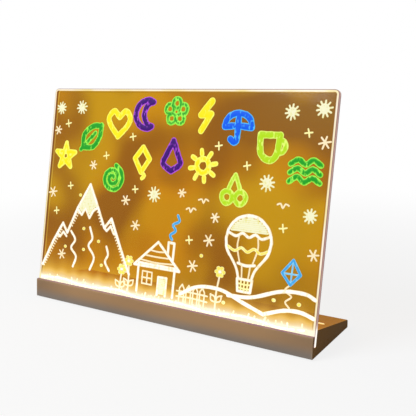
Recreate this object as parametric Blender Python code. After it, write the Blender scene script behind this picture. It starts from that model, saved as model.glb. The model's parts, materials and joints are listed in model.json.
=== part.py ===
"""A lit writing board: a clear acrylic panel that stands in a wedge base, over a row of lamps.

Units are metres. +X runs along the board, +Y points to its back and +Z is up.
The origin is on the surface that the board stands on, under the middle of the base.
Pieces in the base are placed from its front foot edge, and pieces in the slot from the slot's mouth.
"""

import math

import bmesh
import bpy
from mathutils import Matrix, Vector

# Panel
PANEL_WIDTH = 0.300
PANEL_HEIGHT = 0.200
PANEL_THICKNESS = 0.004
PANEL_CORNER_RADIUS = 0.004
PANEL_CHAMFER = 0.0003
LEAN = math.radians(12)

# Base housing
BASE_DEPTH = 0.077
REAR_HEIGHT = 0.007
LIP_HEIGHT = 0.0178
LIP_THICKNESS = 0.003
FRONT_LEAN = math.radians(5)
WALL = 0.002
FOOT_EDGE_RADIUS = 0.0008
REAR_EDGE_RADIUS = 0.0016
TOP_EDGE_RADIUS = 0.0005
LIP_FRONT_RADIUS = 0.0006
LIP_REAR_RADIUS = 0.0004
END_EDGE_RADIUS = 0.0004
RIB_THICKNESS = 0.0014
RIB_BOARD_GAP = 0.0062
INNER_RIB_SHARE = 0.486

# Slot, with the deeper groove that holds the lamp strip
SLOT_DEPTH = 0.009
SLOT_CLEARANCE = 0.00025
GROOVE_DEPTH = 0.0022
GROOVE_LEDGE = 0.005
CHANNEL_WALL = 0.0018
CHANNEL_FLOOR = 0.0015

# Gaps between pieces, what a cutter overruns and how near two points count as one
SEAT_GAP = 0.0003
FIT_GAP = 0.0003
OVERRUN = 0.004
MERGE_DISTANCE = 0.000002

# Bottom cover and its screws
COVER_THICKNESS = 0.0018
COVER_CORNER_RADIUS = 0.0015
LABEL_WIDTH = 0.060
LABEL_DEPTH = 0.024
LABEL_RECESS = 0.0003
SCREW_LENGTH = 0.006
SCREW_RADIUS = 0.0012
SCREW_HEAD_RADIUS = 0.0021
SCREW_HEAD_HEIGHT = 0.0011
SCREW_SINK = 0.0002
SCREW_TIP = 0.0006
DRIVE_WIDTH = 0.0006
DRIVE_SPAN = 0.0024
DRIVE_DEPTH = 0.0007
BOSS_WALL = 0.0014
FRONT_SCREW_ROOM_SHARE = 0.17
REAR_SCREW_INSET = 0.009
FRONT_SCREW_SHARES = (-0.79, 0.0, 0.79)
REAR_SCREW_SHARES = (-0.63, 0.0, 0.63)

# Rubber feet
FOOT_RADIUS = 0.0045
FOOT_PROUD = 0.001
FOOT_RECESS = 0.0006
FOOT_CHAMFER = 0.0003
FOOT_END_INSET = 0.014
FOOT_EDGE_INSET = 0.009

# Lamp strip
LED_COUNT = 18
LED_LENGTH = 0.0035
LED_WIDTH = 0.0028
LED_HEIGHT = 0.0008
LED_RIM = 0.0004
LED_POCKET = 0.00015
STRIP_WIDTH = 0.0036
STRIP_THICKNESS = 0.0003
STRIP_END_GAP = 0.001
STRIP_PAD_LENGTH = 0.006
LEDS_PER_RESISTOR = 3
RESISTOR_LENGTH = 0.0016
RESISTOR_WIDTH = 0.0008
RESISTOR_HEIGHT = 0.00045

# Control board, placed from the inner right and rear walls
BOARD_WIDTH = 0.036
BOARD_DEPTH = 0.044
BOARD_THICKNESS = 0.001
BOARD_SIDE_GAP = 0.0015
BOARD_REAR_GAP = 0.0006
BOARD_SCREW_RADIUS = 0.0009
BOARD_SCREW_HEAD_RADIUS = 0.0017
BOARD_SCREW_HEAD_HEIGHT = 0.0007
BOARD_SCREW_GRIP = 0.0032
BOARD_BOSS_RADIUS = 0.0022
BOARD_SCREW_INSET = 0.004
BOARD_SCREW_FRONT = 0.0055
BOARD_SCREW_REAR = 0.0145

# Charging-type inlet, 24 contacts, sunk into a notch in the board
INLET_WIDTH = 0.00894
INLET_HEIGHT = 0.00316
INLET_LENGTH = 0.0073
INLET_WALL = 0.0003
INLET_RECESS = 0.0002
INLET_FLOOR_GAP = 0.0003
INLET_BOARD_PLACE = 0.0155
TONGUE_WIDTH = 0.0067
TONGUE_THICKNESS = 0.0007
TONGUE_SETBACK = 0.0011
TONGUE_ROOT = 0.0018

# Mode button and the switch under it
BUTTON_LENGTH = 0.008
BUTTON_WIDTH = 0.0024
BUTTON_PROUD = 0.0006
BUTTON_TRAVEL = 0.0005
BUTTON_FLANGE = 0.0009
BUTTON_FLANGE_HEIGHT = 0.0010
BUTTON_STEM_RADIUS = 0.0010
BUTTON_TOP_RADIUS = 0.0003
BUTTON_BOARD_SIDE = 0.0059
BUTTON_BOARD_FRONT = 0.0065
SWITCH_SIZE = 0.006
SWITCH_HEIGHT = 0.0035
SWITCH_CHAMFER = 0.0004
PLUNGER_RADIUS = 0.0017
PLUNGER_PROUD = 0.0015
PLUNGER_INSET = 0.0008
INDICATOR_LENGTH = 0.0020
INDICATOR_WIDTH = 0.00125
INDICATOR_HEIGHT = 0.0008

# Other parts on the board, each placed from the board's left and back edges
CHIP_LENGTH = 0.0049
CHIP_WIDTH = 0.0039
CHIP_HEIGHT = 0.0015
CHIP_PLACE = (0.012, 0.023)
CHIP_LEGS = 4
CHIP_LEG_PITCH = 0.00127
CHIP_LEG_WIDTH = 0.00042
CHIP_LEG_REACH = 0.00105
CHIP_LEG_THICKNESS = 0.00025
TRANSISTOR_LENGTH = 0.0029
TRANSISTOR_WIDTH = 0.0014
TRANSISTOR_HEIGHT = 0.0010
TRANSISTOR_PLACE = (0.022, 0.030)
TRANSISTOR_LEG_PITCH = 0.00095
CAPACITOR_RADIUS = 0.0025
CAPACITOR_HEAD_ROOM = 0.001
CAPACITOR_CRIMP = 0.0003
CAPACITOR_PLACE = (0.025, 0.0235)

# Two-way connector, placed from the board's left and front edges, and the leads to the strip
SOCKET_WIDTH = 0.0066
SOCKET_DEPTH = 0.0055
SOCKET_HEIGHT = 0.0044
SOCKET_WALL = 0.0005
SOCKET_BACK = 0.0012
SOCKET_PLACE = (0.011, 0.0015)
PLUG_OUTSIDE = 0.0025
LEAD_RADIUS = 0.00055
LEAD_PITCH = 0.002
LEAD_SEAT = 0.0022
LEAD_STRAIGHT_SHARE = 0.12
LEAD_EASE_SHARE = 0.06
LEAD_BEND = 0.005
LEAD_SAMPLES = 9

ARC_STEPS = 4
ROUND_STEPS = 24
SMALL_ROUND_STEPS = 16
SMOOTH_ANGLE = math.radians(35)

# Sizes that follow from those above
BASE_LENGTH = PANEL_WIDTH
HALF_LENGTH = BASE_LENGTH / 2
CAVITY_HALF = HALF_LENGTH - WALL
SLOT_WIDTH = PANEL_THICKNESS + 2 * SLOT_CLEARANCE
LIP_FRONT = LIP_HEIGHT * math.tan(FRONT_LEAN)
SLOT_MOUTH = LIP_FRONT + LIP_THICKNESS
TOP_RISE = (BASE_DEPTH - SLOT_MOUTH) * math.sin(LEAN) + (REAR_HEIGHT - LIP_HEIGHT) * math.cos(LEAN)
CAVITY_FLOOR = COVER_THICKNESS + SEAT_GAP
PANEL_FOOT = SLOT_DEPTH - SEAT_GAP
GROOVE_FLOOR = SLOT_DEPTH + GROOVE_DEPTH
GROOVE_HALF = HALF_LENGTH - GROOVE_LEDGE
STRIP_HALF = GROOVE_HALF - STRIP_END_GAP
STRIP_BASE = -GROOVE_FLOOR + SEAT_GAP
STRIP_TOP = STRIP_BASE + STRIP_THICKNESS
LED_PITCH = 2 * (STRIP_HALF - STRIP_PAD_LENGTH - LED_LENGTH / 2) / (LED_COUNT - 1)
PILOT_RADIUS = SCREW_RADIUS + FIT_GAP
BOSS_RADIUS = PILOT_RADIUS + BOSS_WALL
BOARD_PILOT_RADIUS = BOARD_SCREW_RADIUS + FIT_GAP
INLET_MIDDLE = COVER_THICKNESS + INLET_FLOOR_GAP + INLET_HEIGHT / 2
BOARD_BOTTOM = INLET_MIDDLE - BOARD_THICKNESS / 2
BOARD_TOP = BOARD_BOTTOM + BOARD_THICKNESS
PARTS_BOTTOM = BOARD_TOP + SEAT_GAP
BOARD_RIGHT = CAVITY_HALF - BOARD_SIDE_GAP
BOARD_LEFT = BOARD_RIGHT - BOARD_WIDTH
OUTER_RIB = BOARD_LEFT - RIB_BOARD_GAP - RIB_THICKNESS / 2
BOARD_BACK = BASE_DEPTH - WALL - BOARD_REAR_GAP
BOARD_FRONT = BOARD_BACK - BOARD_DEPTH
INLET_X = BOARD_LEFT + INLET_BOARD_PLACE
INLET_MOUTH = BASE_DEPTH - INLET_RECESS
BUTTON_X = BOARD_RIGHT - BUTTON_BOARD_SIDE
BUTTON_Y = BOARD_FRONT + BUTTON_BOARD_FRONT
SWITCH_TOP = PARTS_BOTTOM + SWITCH_HEIGHT
PLUNGER_TOP = SWITCH_TOP + PLUNGER_PROUD
SOCKET_X = BOARD_LEFT + SOCKET_PLACE[0]
SOCKET_FRONT = BOARD_FRONT + SOCKET_PLACE[1]
LEAD_HEIGHT = PARTS_BOTTOM + SOCKET_HEIGHT / 2

BASE_FRAME = Vector((0, -BASE_DEPTH / 2, FOOT_PROUD))
SLOT_FRAME = Vector((0, SLOT_MOUTH, LIP_HEIGHT))


def material(name, colour, roughness, metallic=0.0, alpha=1.0):
    """A Principled material with one colour."""
    made = bpy.data.materials.new(name)
    made.use_nodes = True
    shader = made.node_tree.nodes["Principled BSDF"]
    shader.inputs["Base Color"].default_value = (*colour, 1.0)
    shader.inputs["Roughness"].default_value = roughness
    shader.inputs["Metallic"].default_value = metallic
    shader.inputs["Alpha"].default_value = alpha
    return made


def clear_scene():
    """Removes whatever the file opened with."""
    for obj in list(bpy.data.objects):
        bpy.data.objects.remove(obj)


def new_frame(name, location, parent=None, turn=0.0):
    """An empty that carries the pieces placed from it."""
    frame = bpy.data.objects.new(name, None)
    frame.location = location
    frame.rotation_euler = (turn, 0, 0)
    frame.parent = parent
    bpy.context.scene.collection.objects.link(frame)
    return frame


def new_object(name, mesh, parent, finish=None, location=(0, 0, 0)):
    """An object for a bmesh, or for a mesh that it shares with another object."""
    if isinstance(mesh, bmesh.types.BMesh):
        made = bpy.data.meshes.new(name)
        mesh.to_mesh(made)
        mesh.free()
        mesh = made
        mesh.shade_smooth()
        mesh.set_sharp_from_angle(angle=SMOOTH_ANGLE)
    if finish and not mesh.materials:
        mesh.materials.append(finish)
    obj = bpy.data.objects.new(name, mesh)
    obj.location = location
    obj.parent = parent
    bpy.context.scene.collection.objects.link(obj)
    return obj


def helper(name, mesh, parent, location=(0, 0, 0)):
    """A shape that only cuts or joins another one."""
    obj = new_object(name, mesh, parent, location=location)
    obj.hide_render = True
    obj.display_type = "WIRE"
    return obj


def boolean(target, operation, other):
    """Cuts another object from the target, or joins it on."""
    modifier = target.modifiers.new(f"{operation.lower()}_{other.name}", "BOOLEAN")
    modifier.operation = operation
    modifier.object = other


def applied_mesh(obj):
    """The mesh of an object with its modifiers applied. The object itself is dropped."""
    bpy.context.view_layer.update()
    graph = bpy.context.evaluated_depsgraph_get()
    mesh = bpy.data.meshes.new_from_object(obj.evaluated_get(graph))
    bpy.data.objects.remove(obj)
    return mesh


def rounded(corners):
    """A flat outline from (point, radius) corners, each radius as an arc of a few steps."""
    outline = []
    for i, (point, radius) in enumerate(corners):
        corner = Vector(point)
        if not radius:
            outline.append(corner)
            continue
        to_last = (Vector(corners[i - 1][0]) - corner).normalized()
        to_next = (Vector(corners[(i + 1) % len(corners)][0]) - corner).normalized()
        half = to_last.angle(to_next) / 2
        centre = corner + (to_last + to_next).normalized() * radius / math.sin(half)
        arm = corner + to_last * radius / math.tan(half) - centre
        sweep = math.pi - 2 * half
        if to_last.x * to_next.y - to_last.y * to_next.x > 0:
            sweep = -sweep
        for step in range(ARC_STEPS + 1):
            outline.append(centre + Matrix.Rotation(sweep * step / ARC_STEPS, 2) @ arm)
    return outline


def prism(face_points, along):
    """A solid swept from one flat face."""
    solid = bmesh.new()
    face = solid.faces.new([solid.verts.new(point) for point in face_points])
    swept = bmesh.ops.extrude_face_region(solid, geom=[face])["geom"]
    moved = [item for item in swept if isinstance(item, bmesh.types.BMVert)]
    bmesh.ops.translate(solid, vec=along, verts=moved)
    bmesh.ops.recalc_face_normals(solid, faces=solid.faces)
    return solid


def lengthwise(outline, start, end):
    """A prism along X from a (y, z) outline."""
    return prism([(start, y, z) for y, z in outline], (end - start, 0, 0))


def upright(outline, low, high):
    """A prism along Z from an (x, y) outline."""
    return prism([(x, y, low) for x, y in outline], (0, 0, high - low))


def rectangle(width, depth, radius=0.0):
    """The (x, y) outline of a rectangle round the origin."""
    x, y = width / 2, depth / 2
    return rounded([((-x, -y), radius), ((x, -y), radius), ((x, y), radius), ((-x, y), radius)])


def add_box(solid, size, centre):
    """Adds a box to a bmesh."""
    place = Matrix.Translation(centre) @ Matrix.Diagonal((*size, 1.0))
    bmesh.ops.create_cube(solid, size=1.0, matrix=place)
    return solid


def box(size, centre=(0, 0, 0)):
    """A box as a bmesh."""
    return add_box(bmesh.new(), size, centre)


def add_cylinder(solid, radius, low, high, centre=(0, 0), steps=SMALL_ROUND_STEPS):
    """Adds an upright cylinder to a bmesh."""
    bmesh.ops.create_cone(
        solid,
        cap_ends=True,
        segments=steps,
        radius1=radius,
        radius2=radius,
        depth=high - low,
        matrix=Matrix.Translation((*centre, (low + high) / 2)),
    )
    return solid


def turned(profile, steps=ROUND_STEPS):
    """A solid turned about Z from (radius, z) points that start and end on the axis."""
    solid = bmesh.new()
    points = [solid.verts.new((radius, 0, z)) for radius, z in profile]
    edges = [solid.edges.new(pair) for pair in zip(points, points[1:])]
    bmesh.ops.spin(
        solid,
        geom=points + edges,
        cent=(0, 0, 0),
        axis=(0, 0, 1),
        angle=math.tau,
        steps=steps,
        use_merge=True,
    )
    bmesh.ops.remove_doubles(solid, verts=solid.verts, dist=MERGE_DISTANCE)
    bmesh.ops.recalc_face_normals(solid, faces=solid.faces)
    return solid


def bevel_edges(solid, edges, radius, segments):
    """Rounds or chamfers some edges of a bmesh."""
    bmesh.ops.bevel(
        solid,
        geom=edges,
        offset=radius,
        offset_type="OFFSET",
        segments=segments,
        profile=0.5,
        affect="EDGES",
        material=-1,
    )


def face_edges(solid, normal):
    """The edges round the flat faces that point along a direction."""
    solid.normal_update()
    chosen = [face for face in solid.faces if face.normal.dot(Vector(normal)) > 0.99]
    return list({edge for face in chosen for edge in face.edges})


def slot_point(back, up):
    """A (y, z) point of the base, from a place in the leaning slot."""
    along = Vector((math.cos(LEAN), -math.sin(LEAN))) * back
    rise = Vector((math.sin(LEAN), math.cos(LEAN))) * up
    return Vector((SLOT_MOUTH, LIP_HEIGHT)) + along + rise


def roof_height(y):
    """Height of the base's sloping top at a distance from the front foot edge."""
    return REAR_HEIGHT + (BASE_DEPTH - y) * math.tan(LEAN)


def under_roof(y):
    """Height of the sloping top's inner face."""
    return roof_height(y) - WALL / math.cos(LEAN)


def middle_of_roof(y):
    """Height halfway through the sloping top's wall."""
    return (roof_height(y) + under_roof(y)) / 2


def sloped(solid):
    """Shears a bmesh so that level faces follow the sloping top."""
    shear = Matrix.Identity(4)
    shear[2][1] = -math.tan(LEAN)
    bmesh.ops.transform(solid, matrix=shear, verts=solid.verts)
    return solid


def led_places():
    """The distance along the strip of each lamp's middle."""
    first = -LED_PITCH * (LED_COUNT - 1) / 2
    return [first + LED_PITCH * i for i in range(LED_COUNT)]


def cover_screw_places():
    """The (x, y) of each screw that holds the bottom cover."""
    # The front row's bosses stand in the room between the slot's channel and the board
    nearest = slot_point(SLOT_WIDTH + CHANNEL_WALL, 0).x + BOSS_RADIUS
    room = BOARD_FRONT - BOSS_RADIUS - nearest
    front_row = nearest + room * FRONT_SCREW_ROOM_SHARE
    front = [(CAVITY_HALF * share, front_row) for share in FRONT_SCREW_SHARES]
    rear = [(CAVITY_HALF * share, BASE_DEPTH - REAR_SCREW_INSET) for share in REAR_SCREW_SHARES]
    return front + rear


def board_screw_places():
    """The (x, y) of each screw that holds the control board."""
    return [
        (BOARD_LEFT + BOARD_SCREW_INSET, BOARD_FRONT + BOARD_SCREW_FRONT),
        (BOARD_RIGHT - BOARD_SCREW_INSET, BOARD_BACK - BOARD_SCREW_REAR),
    ]


def foot_places():
    """The name, x and y of each rubber foot."""
    x = HALF_LENGTH - FOOT_END_INSET
    front, rear = FOOT_EDGE_INSET, BASE_DEPTH - FOOT_EDGE_INSET
    return [
        ("foot_front_left", -x, front),
        ("foot_front_right", x, front),
        ("foot_rear_left", -x, rear),
        ("foot_rear_right", x, rear),
    ]


def make_panel(slot, finish):
    """The acrylic panel, with two round top corners and polished chamfers."""
    half = PANEL_WIDTH / 2
    corners = [
        ((-half, 0), 0),
        ((half, 0), 0),
        ((half, PANEL_HEIGHT), PANEL_CORNER_RADIUS),
        ((-half, PANEL_HEIGHT), PANEL_CORNER_RADIUS),
    ]
    face = [(x, 0, z) for x, z in rounded(corners)]
    panel = prism(face, (0, PANEL_THICKNESS, 0))
    rims = face_edges(panel, (0, -1, 0)) + face_edges(panel, (0, 1, 0))
    bevel_edges(panel, rims, PANEL_CHAMFER, 1)
    new_object("acrylic_panel", panel, slot, finish, (0, SLOT_CLEARANCE, -PANEL_FOOT))


def housing_outline():
    """The base's side outline, with the slot open to the top."""
    return rounded(
        [
            ((0, 0), FOOT_EDGE_RADIUS),
            ((BASE_DEPTH, 0), FOOT_EDGE_RADIUS),
            ((BASE_DEPTH, REAR_HEIGHT), REAR_EDGE_RADIUS),
            (slot_point(SLOT_WIDTH, TOP_RISE), TOP_EDGE_RADIUS),
            (slot_point(SLOT_WIDTH, -SLOT_DEPTH), 0),
            (slot_point(0, -SLOT_DEPTH), 0),
            (slot_point(0, 0), LIP_REAR_RADIUS),
            ((LIP_FRONT, LIP_HEIGHT), LIP_FRONT_RADIUS),
        ]
    )


def cavity_outline():
    """The hollow behind and under the slot's channel, open at the bottom."""
    channel_back = SLOT_WIDTH + CHANNEL_WALL
    channel_bottom = -(GROOVE_FLOOR + CHANNEL_FLOOR)
    rear = BASE_DEPTH - WALL
    under = slot_point(channel_back, channel_bottom)
    # The channel's underside runs forward to the inside of the front wall
    rise = math.tan(LEAN)
    lean = math.tan(FRONT_LEAN)
    front_height = (under.y + (under.x - WALL) * rise) / (1 + lean * rise)
    return [
        (WALL + CAVITY_FLOOR * lean, CAVITY_FLOOR - SEAT_GAP),
        (WALL + front_height * lean, front_height),
        under,
        slot_point(channel_back, TOP_RISE - WALL),
        (rear, under_roof(rear)),
        (rear, CAVITY_FLOOR - SEAT_GAP),
    ]


def cavity_bays():
    """The hollow's bays, which leave a stiffening rib between each two."""
    inner_rib = OUTER_RIB * INNER_RIB_SHARE
    right = [inner_rib, OUTER_RIB, CAVITY_HALF + RIB_THICKNESS / 2]
    walls = [-x for x in reversed(right)] + right
    return [(a + RIB_THICKNESS / 2, b - RIB_THICKNESS / 2) for a, b in zip(walls, walls[1:])]


def stadium(length, width):
    """An (x, y) outline with straight sides and round ends."""
    radius = width / 2
    outline = []
    for side in (1, -1):
        for step in range(2 * ARC_STEPS + 1):
            angle = math.pi * (step / (2 * ARC_STEPS) - 0.5)
            x = length / 2 - radius + radius * math.cos(angle)
            outline.append((side * x, side * radius * math.sin(angle)))
    return outline


def make_housing(base, slot, finish):
    """The moulded upper shell, with its slot, ribs, bosses and holes."""
    shell = lengthwise(housing_outline(), -HALF_LENGTH, HALF_LENGTH)
    rims = face_edges(shell, (-1, 0, 0)) + face_edges(shell, (1, 0, 0))
    bevel_edges(shell, rims, END_EDGE_RADIUS, 2)
    housing = new_object("base_housing", shell, base, finish)

    recess = box(
        (2 * CAVITY_HALF, BASE_DEPTH - 2 * WALL, CAVITY_FLOOR + OVERRUN),
        (0, BASE_DEPTH / 2, (CAVITY_FLOOR - OVERRUN) / 2),
    )
    boolean(housing, "DIFFERENCE", helper("cut_cover_recess", recess, base))
    for i, (start, end) in enumerate(cavity_bays(), 1):
        bay = lengthwise(cavity_outline(), start, end)
        boolean(housing, "DIFFERENCE", helper(f"cut_bay_{i}", bay, base))

    for i, (x, y) in enumerate(cover_screw_places(), 1):
        boss = add_cylinder(bmesh.new(), BOSS_RADIUS, CAVITY_FLOOR, middle_of_roof(y), (x, y))
        boolean(housing, "UNION", helper(f"join_cover_boss_{i}", boss, base))
    for i, (x, y) in enumerate(board_screw_places(), 1):
        boss = add_cylinder(bmesh.new(), BOARD_BOSS_RADIUS, PARTS_BOTTOM, middle_of_roof(y), (x, y))
        boolean(housing, "UNION", helper(f"join_board_boss_{i}", boss, base))

    pilots = bmesh.new()
    for place in cover_screw_places():
        top = SCREW_SINK + SCREW_LENGTH + SEAT_GAP
        add_cylinder(pilots, PILOT_RADIUS, CAVITY_FLOOR - OVERRUN, top, place)
    for place in board_screw_places():
        top = BOARD_TOP + BOARD_SCREW_GRIP + SEAT_GAP
        add_cylinder(pilots, BOARD_PILOT_RADIUS, PARTS_BOTTOM - SEAT_GAP, top, place)
    boolean(housing, "DIFFERENCE", helper("cut_pilot_holes", pilots, base))

    groove = box(
        (2 * GROOVE_HALF, SLOT_WIDTH, GROOVE_DEPTH + OVERRUN / 4),
        (0, SLOT_WIDTH / 2, -GROOVE_FLOOR + (GROOVE_DEPTH + OVERRUN / 4) / 2),
    )
    boolean(housing, "DIFFERENCE", helper("cut_strip_groove", groove, slot))
    boolean(housing, "DIFFERENCE", helper("cut_lead_window", lead_window(), slot))

    button_hole = upright(
        stadium(BUTTON_LENGTH + 2 * FIT_GAP, BUTTON_WIDTH + 2 * FIT_GAP),
        roof_height(BUTTON_Y) - WALL - OVERRUN,
        roof_height(BUTTON_Y) + OVERRUN,
    )
    boolean(housing, "DIFFERENCE", helper("cut_button_hole", button_hole, base, (BUTTON_X, BUTTON_Y, 0)))
    inlet_hole = inlet_prism(INLET_WIDTH + 2 * FIT_GAP, INLET_HEIGHT + 2 * FIT_GAP, INLET_LENGTH + OVERRUN)
    place = (INLET_X, INLET_MOUTH - INLET_LENGTH - FIT_GAP, INLET_MIDDLE)
    boolean(housing, "DIFFERENCE", helper("cut_inlet_hole", inlet_hole, base, place))


def inlet_prism(width, height, length):
    """A flat-oval prism along Y, from the origin."""
    return prism([(x, 0, z) for x, z in stadium(width, height)], (0, length, 0))


def lead_window():
    """The cut through the channel's rear wall that lets the two leads out of the groove."""
    width = LEAD_PITCH + 2 * (LEAD_RADIUS + FIT_GAP)
    height = 2 * (LEAD_RADIUS + FIT_GAP)
    depth = CHANNEL_WALL + OVERRUN
    return box(
        (width, depth, height),
        (lead_pad_middle(), SLOT_WIDTH - OVERRUN / 2 + depth / 2, lead_level()),
    )


def lead_pad_middle():
    """The distance along the strip of the middle of its two solder pads."""
    return STRIP_HALF - STRIP_PAD_LENGTH / 2


def lead_level():
    """The height of the leads' middle in the slot, just clear of the strip."""
    return STRIP_TOP + SEAT_GAP + LEAD_RADIUS


def screw_profile(grow=0.0):
    """Half the side view of a countersunk screw, head down, or of a wider hole with a flat end."""
    shank_top = SCREW_LENGTH - SCREW_TIP
    return [
        (0, -grow),
        (SCREW_HEAD_RADIUS + grow, -grow),
        (SCREW_HEAD_RADIUS + grow, grow / 2),
        (SCREW_RADIUS + grow, SCREW_HEAD_HEIGHT + grow / 2),
        (SCREW_RADIUS + grow, shank_top),
        (0, shank_top if grow else SCREW_LENGTH),
    ]


def cover_screw_mesh():
    """A countersunk screw with a cross drive in its head."""
    screw = new_object("cover_screw_blank", turned(screw_profile(), SMALL_ROUND_STEPS), None)
    for name, size in (("a", (DRIVE_SPAN, DRIVE_WIDTH)), ("b", (DRIVE_WIDTH, DRIVE_SPAN))):
        cross = box((*size, 2 * DRIVE_DEPTH))
        boolean(screw, "DIFFERENCE", helper(f"cut_drive_{name}", cross, None))
    return applied_mesh(screw)


def make_cover(base, finish, steel):
    """The bottom cover, and the six screws that hold it."""
    width = 2 * (CAVITY_HALF - FIT_GAP)
    depth = BASE_DEPTH - 2 * (WALL + FIT_GAP)
    plate = upright(rectangle(width, depth, COVER_CORNER_RADIUS), -COVER_THICKNESS / 2, COVER_THICKNESS / 2)
    cover = new_object("bottom_cover", plate, base, finish, (0, BASE_DEPTH / 2, COVER_THICKNESS / 2))

    for i, (x, y) in enumerate(cover_screw_places(), 1):
        hole = turned(screw_profile(FIT_GAP), SMALL_ROUND_STEPS)
        boolean(cover, "DIFFERENCE", helper(f"cut_cover_hole_{i}", hole, base, (x, y, SCREW_SINK)))
    recesses = bmesh.new()
    for _, x, y in foot_places():
        add_cylinder(recesses, FOOT_RADIUS + FIT_GAP, -OVERRUN, FOOT_RECESS, (x, y), ROUND_STEPS)
    boolean(cover, "DIFFERENCE", helper("cut_foot_recesses", recesses, base))
    label = box((LABEL_WIDTH, LABEL_DEPTH, 2 * LABEL_RECESS), (0, BASE_DEPTH / 2, 0))
    boolean(cover, "DIFFERENCE", helper("cut_label_recess", label, base))

    screw = cover_screw_mesh()
    for i, (x, y) in enumerate(cover_screw_places(), 1):
        new_object(f"cover_screw_{i}", screw, base, steel, (x, y, SCREW_SINK))


def make_feet(base, rubber):
    """Four rubber feet, each bedded in its recess in the cover."""
    height = FOOT_PROUD + FOOT_RECESS - SEAT_GAP
    profile = [
        (0, 0),
        (FOOT_RADIUS - FOOT_CHAMFER, 0),
        (FOOT_RADIUS, FOOT_CHAMFER),
        (FOOT_RADIUS, height),
        (0, height),
    ]
    foot = None
    for name, x, y in foot_places():
        made = new_object(name, foot or turned(profile), base, rubber, (x, y, -FOOT_PROUD))
        foot = made.data


def led_body():
    """One lamp: a pale case with a sunk window in its top."""
    case = box((LED_LENGTH, LED_WIDTH, LED_HEIGHT), (0, 0, LED_HEIGHT / 2))
    case.normal_update()
    top = [face for face in case.faces if face.normal.z > 0.9]
    bmesh.ops.inset_region(case, faces=top, thickness=LED_RIM, depth=0)
    bmesh.ops.translate(case, vec=(0, 0, -LED_POCKET), verts=top[0].verts)
    return case


def make_strip(slot, flex, lamp, dark):
    """The lamp strip: a narrow board with a row of lamps and their resistors."""
    middle = SLOT_WIDTH / 2
    board = box((2 * STRIP_HALF, STRIP_WIDTH, STRIP_THICKNESS), (0, 0, STRIP_THICKNESS / 2))
    new_object("led_strip_board", board, slot, flex, (0, middle, STRIP_BASE))

    level = STRIP_TOP + SEAT_GAP
    mesh = led_body()
    for i, x in enumerate(led_places(), 1):
        made = new_object(f"led_{i:02d}", mesh, slot, lamp, (x, middle, level))
        mesh = made.data
    mesh = box((RESISTOR_LENGTH, RESISTOR_WIDTH, RESISTOR_HEIGHT), (0, 0, RESISTOR_HEIGHT / 2))
    for i, x in enumerate(led_places()[::LEDS_PER_RESISTOR], 1):
        place = (x + LED_PITCH / 2, middle, level)
        made = new_object(f"strip_resistor_{i}", mesh, slot, dark, place)
        mesh = made.data


def make_board(base, laminate, steel):
    """The control board, notched for the inlet, and its two screws."""
    plate = box(
        (BOARD_WIDTH, BOARD_DEPTH, BOARD_THICKNESS),
        ((BOARD_LEFT + BOARD_RIGHT) / 2, (BOARD_FRONT + BOARD_BACK) / 2, INLET_MIDDLE),
    )
    board = new_object("control_board", plate, base, laminate)
    notch_front = INLET_MOUTH - INLET_LENGTH - FIT_GAP
    notch = box(
        (INLET_WIDTH + 2 * FIT_GAP, BOARD_BACK - notch_front + OVERRUN, BOARD_THICKNESS + OVERRUN),
        (INLET_X, (BOARD_BACK + notch_front + OVERRUN) / 2, INLET_MIDDLE),
    )
    boolean(board, "DIFFERENCE", helper("cut_board_notch", notch, base))
    holes = bmesh.new()
    for place in board_screw_places():
        add_cylinder(holes, BOARD_PILOT_RADIUS, BOARD_BOTTOM - OVERRUN, BOARD_TOP + OVERRUN, place)
    boolean(board, "DIFFERENCE", helper("cut_board_holes", holes, base))

    head_top = BOARD_BOTTOM - SEAT_GAP
    head_bottom = head_top - BOARD_SCREW_HEAD_HEIGHT
    profile = [
        (0, head_bottom),
        (BOARD_SCREW_HEAD_RADIUS, head_bottom),
        (BOARD_SCREW_HEAD_RADIUS, head_top),
        (BOARD_SCREW_RADIUS, head_top),
        (BOARD_SCREW_RADIUS, BOARD_TOP + BOARD_SCREW_GRIP),
        (0, BOARD_TOP + BOARD_SCREW_GRIP),
    ]
    screw = turned(profile, SMALL_ROUND_STEPS)
    for i, (x, y) in enumerate(board_screw_places(), 1):
        made = new_object(f"board_screw_{i}", screw, base, steel, (x, y, 0))
        screw = made.data


def make_inlet(base, tin, dark):
    """The power inlet: a drawn metal shell round a plastic tongue."""
    place = (INLET_X, INLET_MOUTH - INLET_LENGTH, INLET_MIDDLE)
    shell = new_object("inlet_shell", inlet_prism(INLET_WIDTH, INLET_HEIGHT, INLET_LENGTH), base, tin, place)
    inner_width = INLET_WIDTH - 2 * INLET_WALL
    inner_height = INLET_HEIGHT - 2 * INLET_WALL
    bore = inlet_prism(inner_width, inner_height, INLET_LENGTH + 2 * OVERRUN)
    start = Vector(place) - Vector((0, OVERRUN, 0))
    boolean(shell, "DIFFERENCE", helper("cut_inlet_bore", bore, base, start))

    root = inlet_prism(inner_width - 2 * FIT_GAP, inner_height - 2 * FIT_GAP, TONGUE_ROOT)
    tongue = new_object("inlet_tongue", root, base, dark, place)
    start = TONGUE_ROOT / 2
    reach = INLET_LENGTH - TONGUE_SETBACK - start
    blade = box((TONGUE_WIDTH, reach, TONGUE_THICKNESS), (0, start + reach / 2, 0))
    boolean(tongue, "UNION", helper("join_tongue_blade", blade, base, place))


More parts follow.
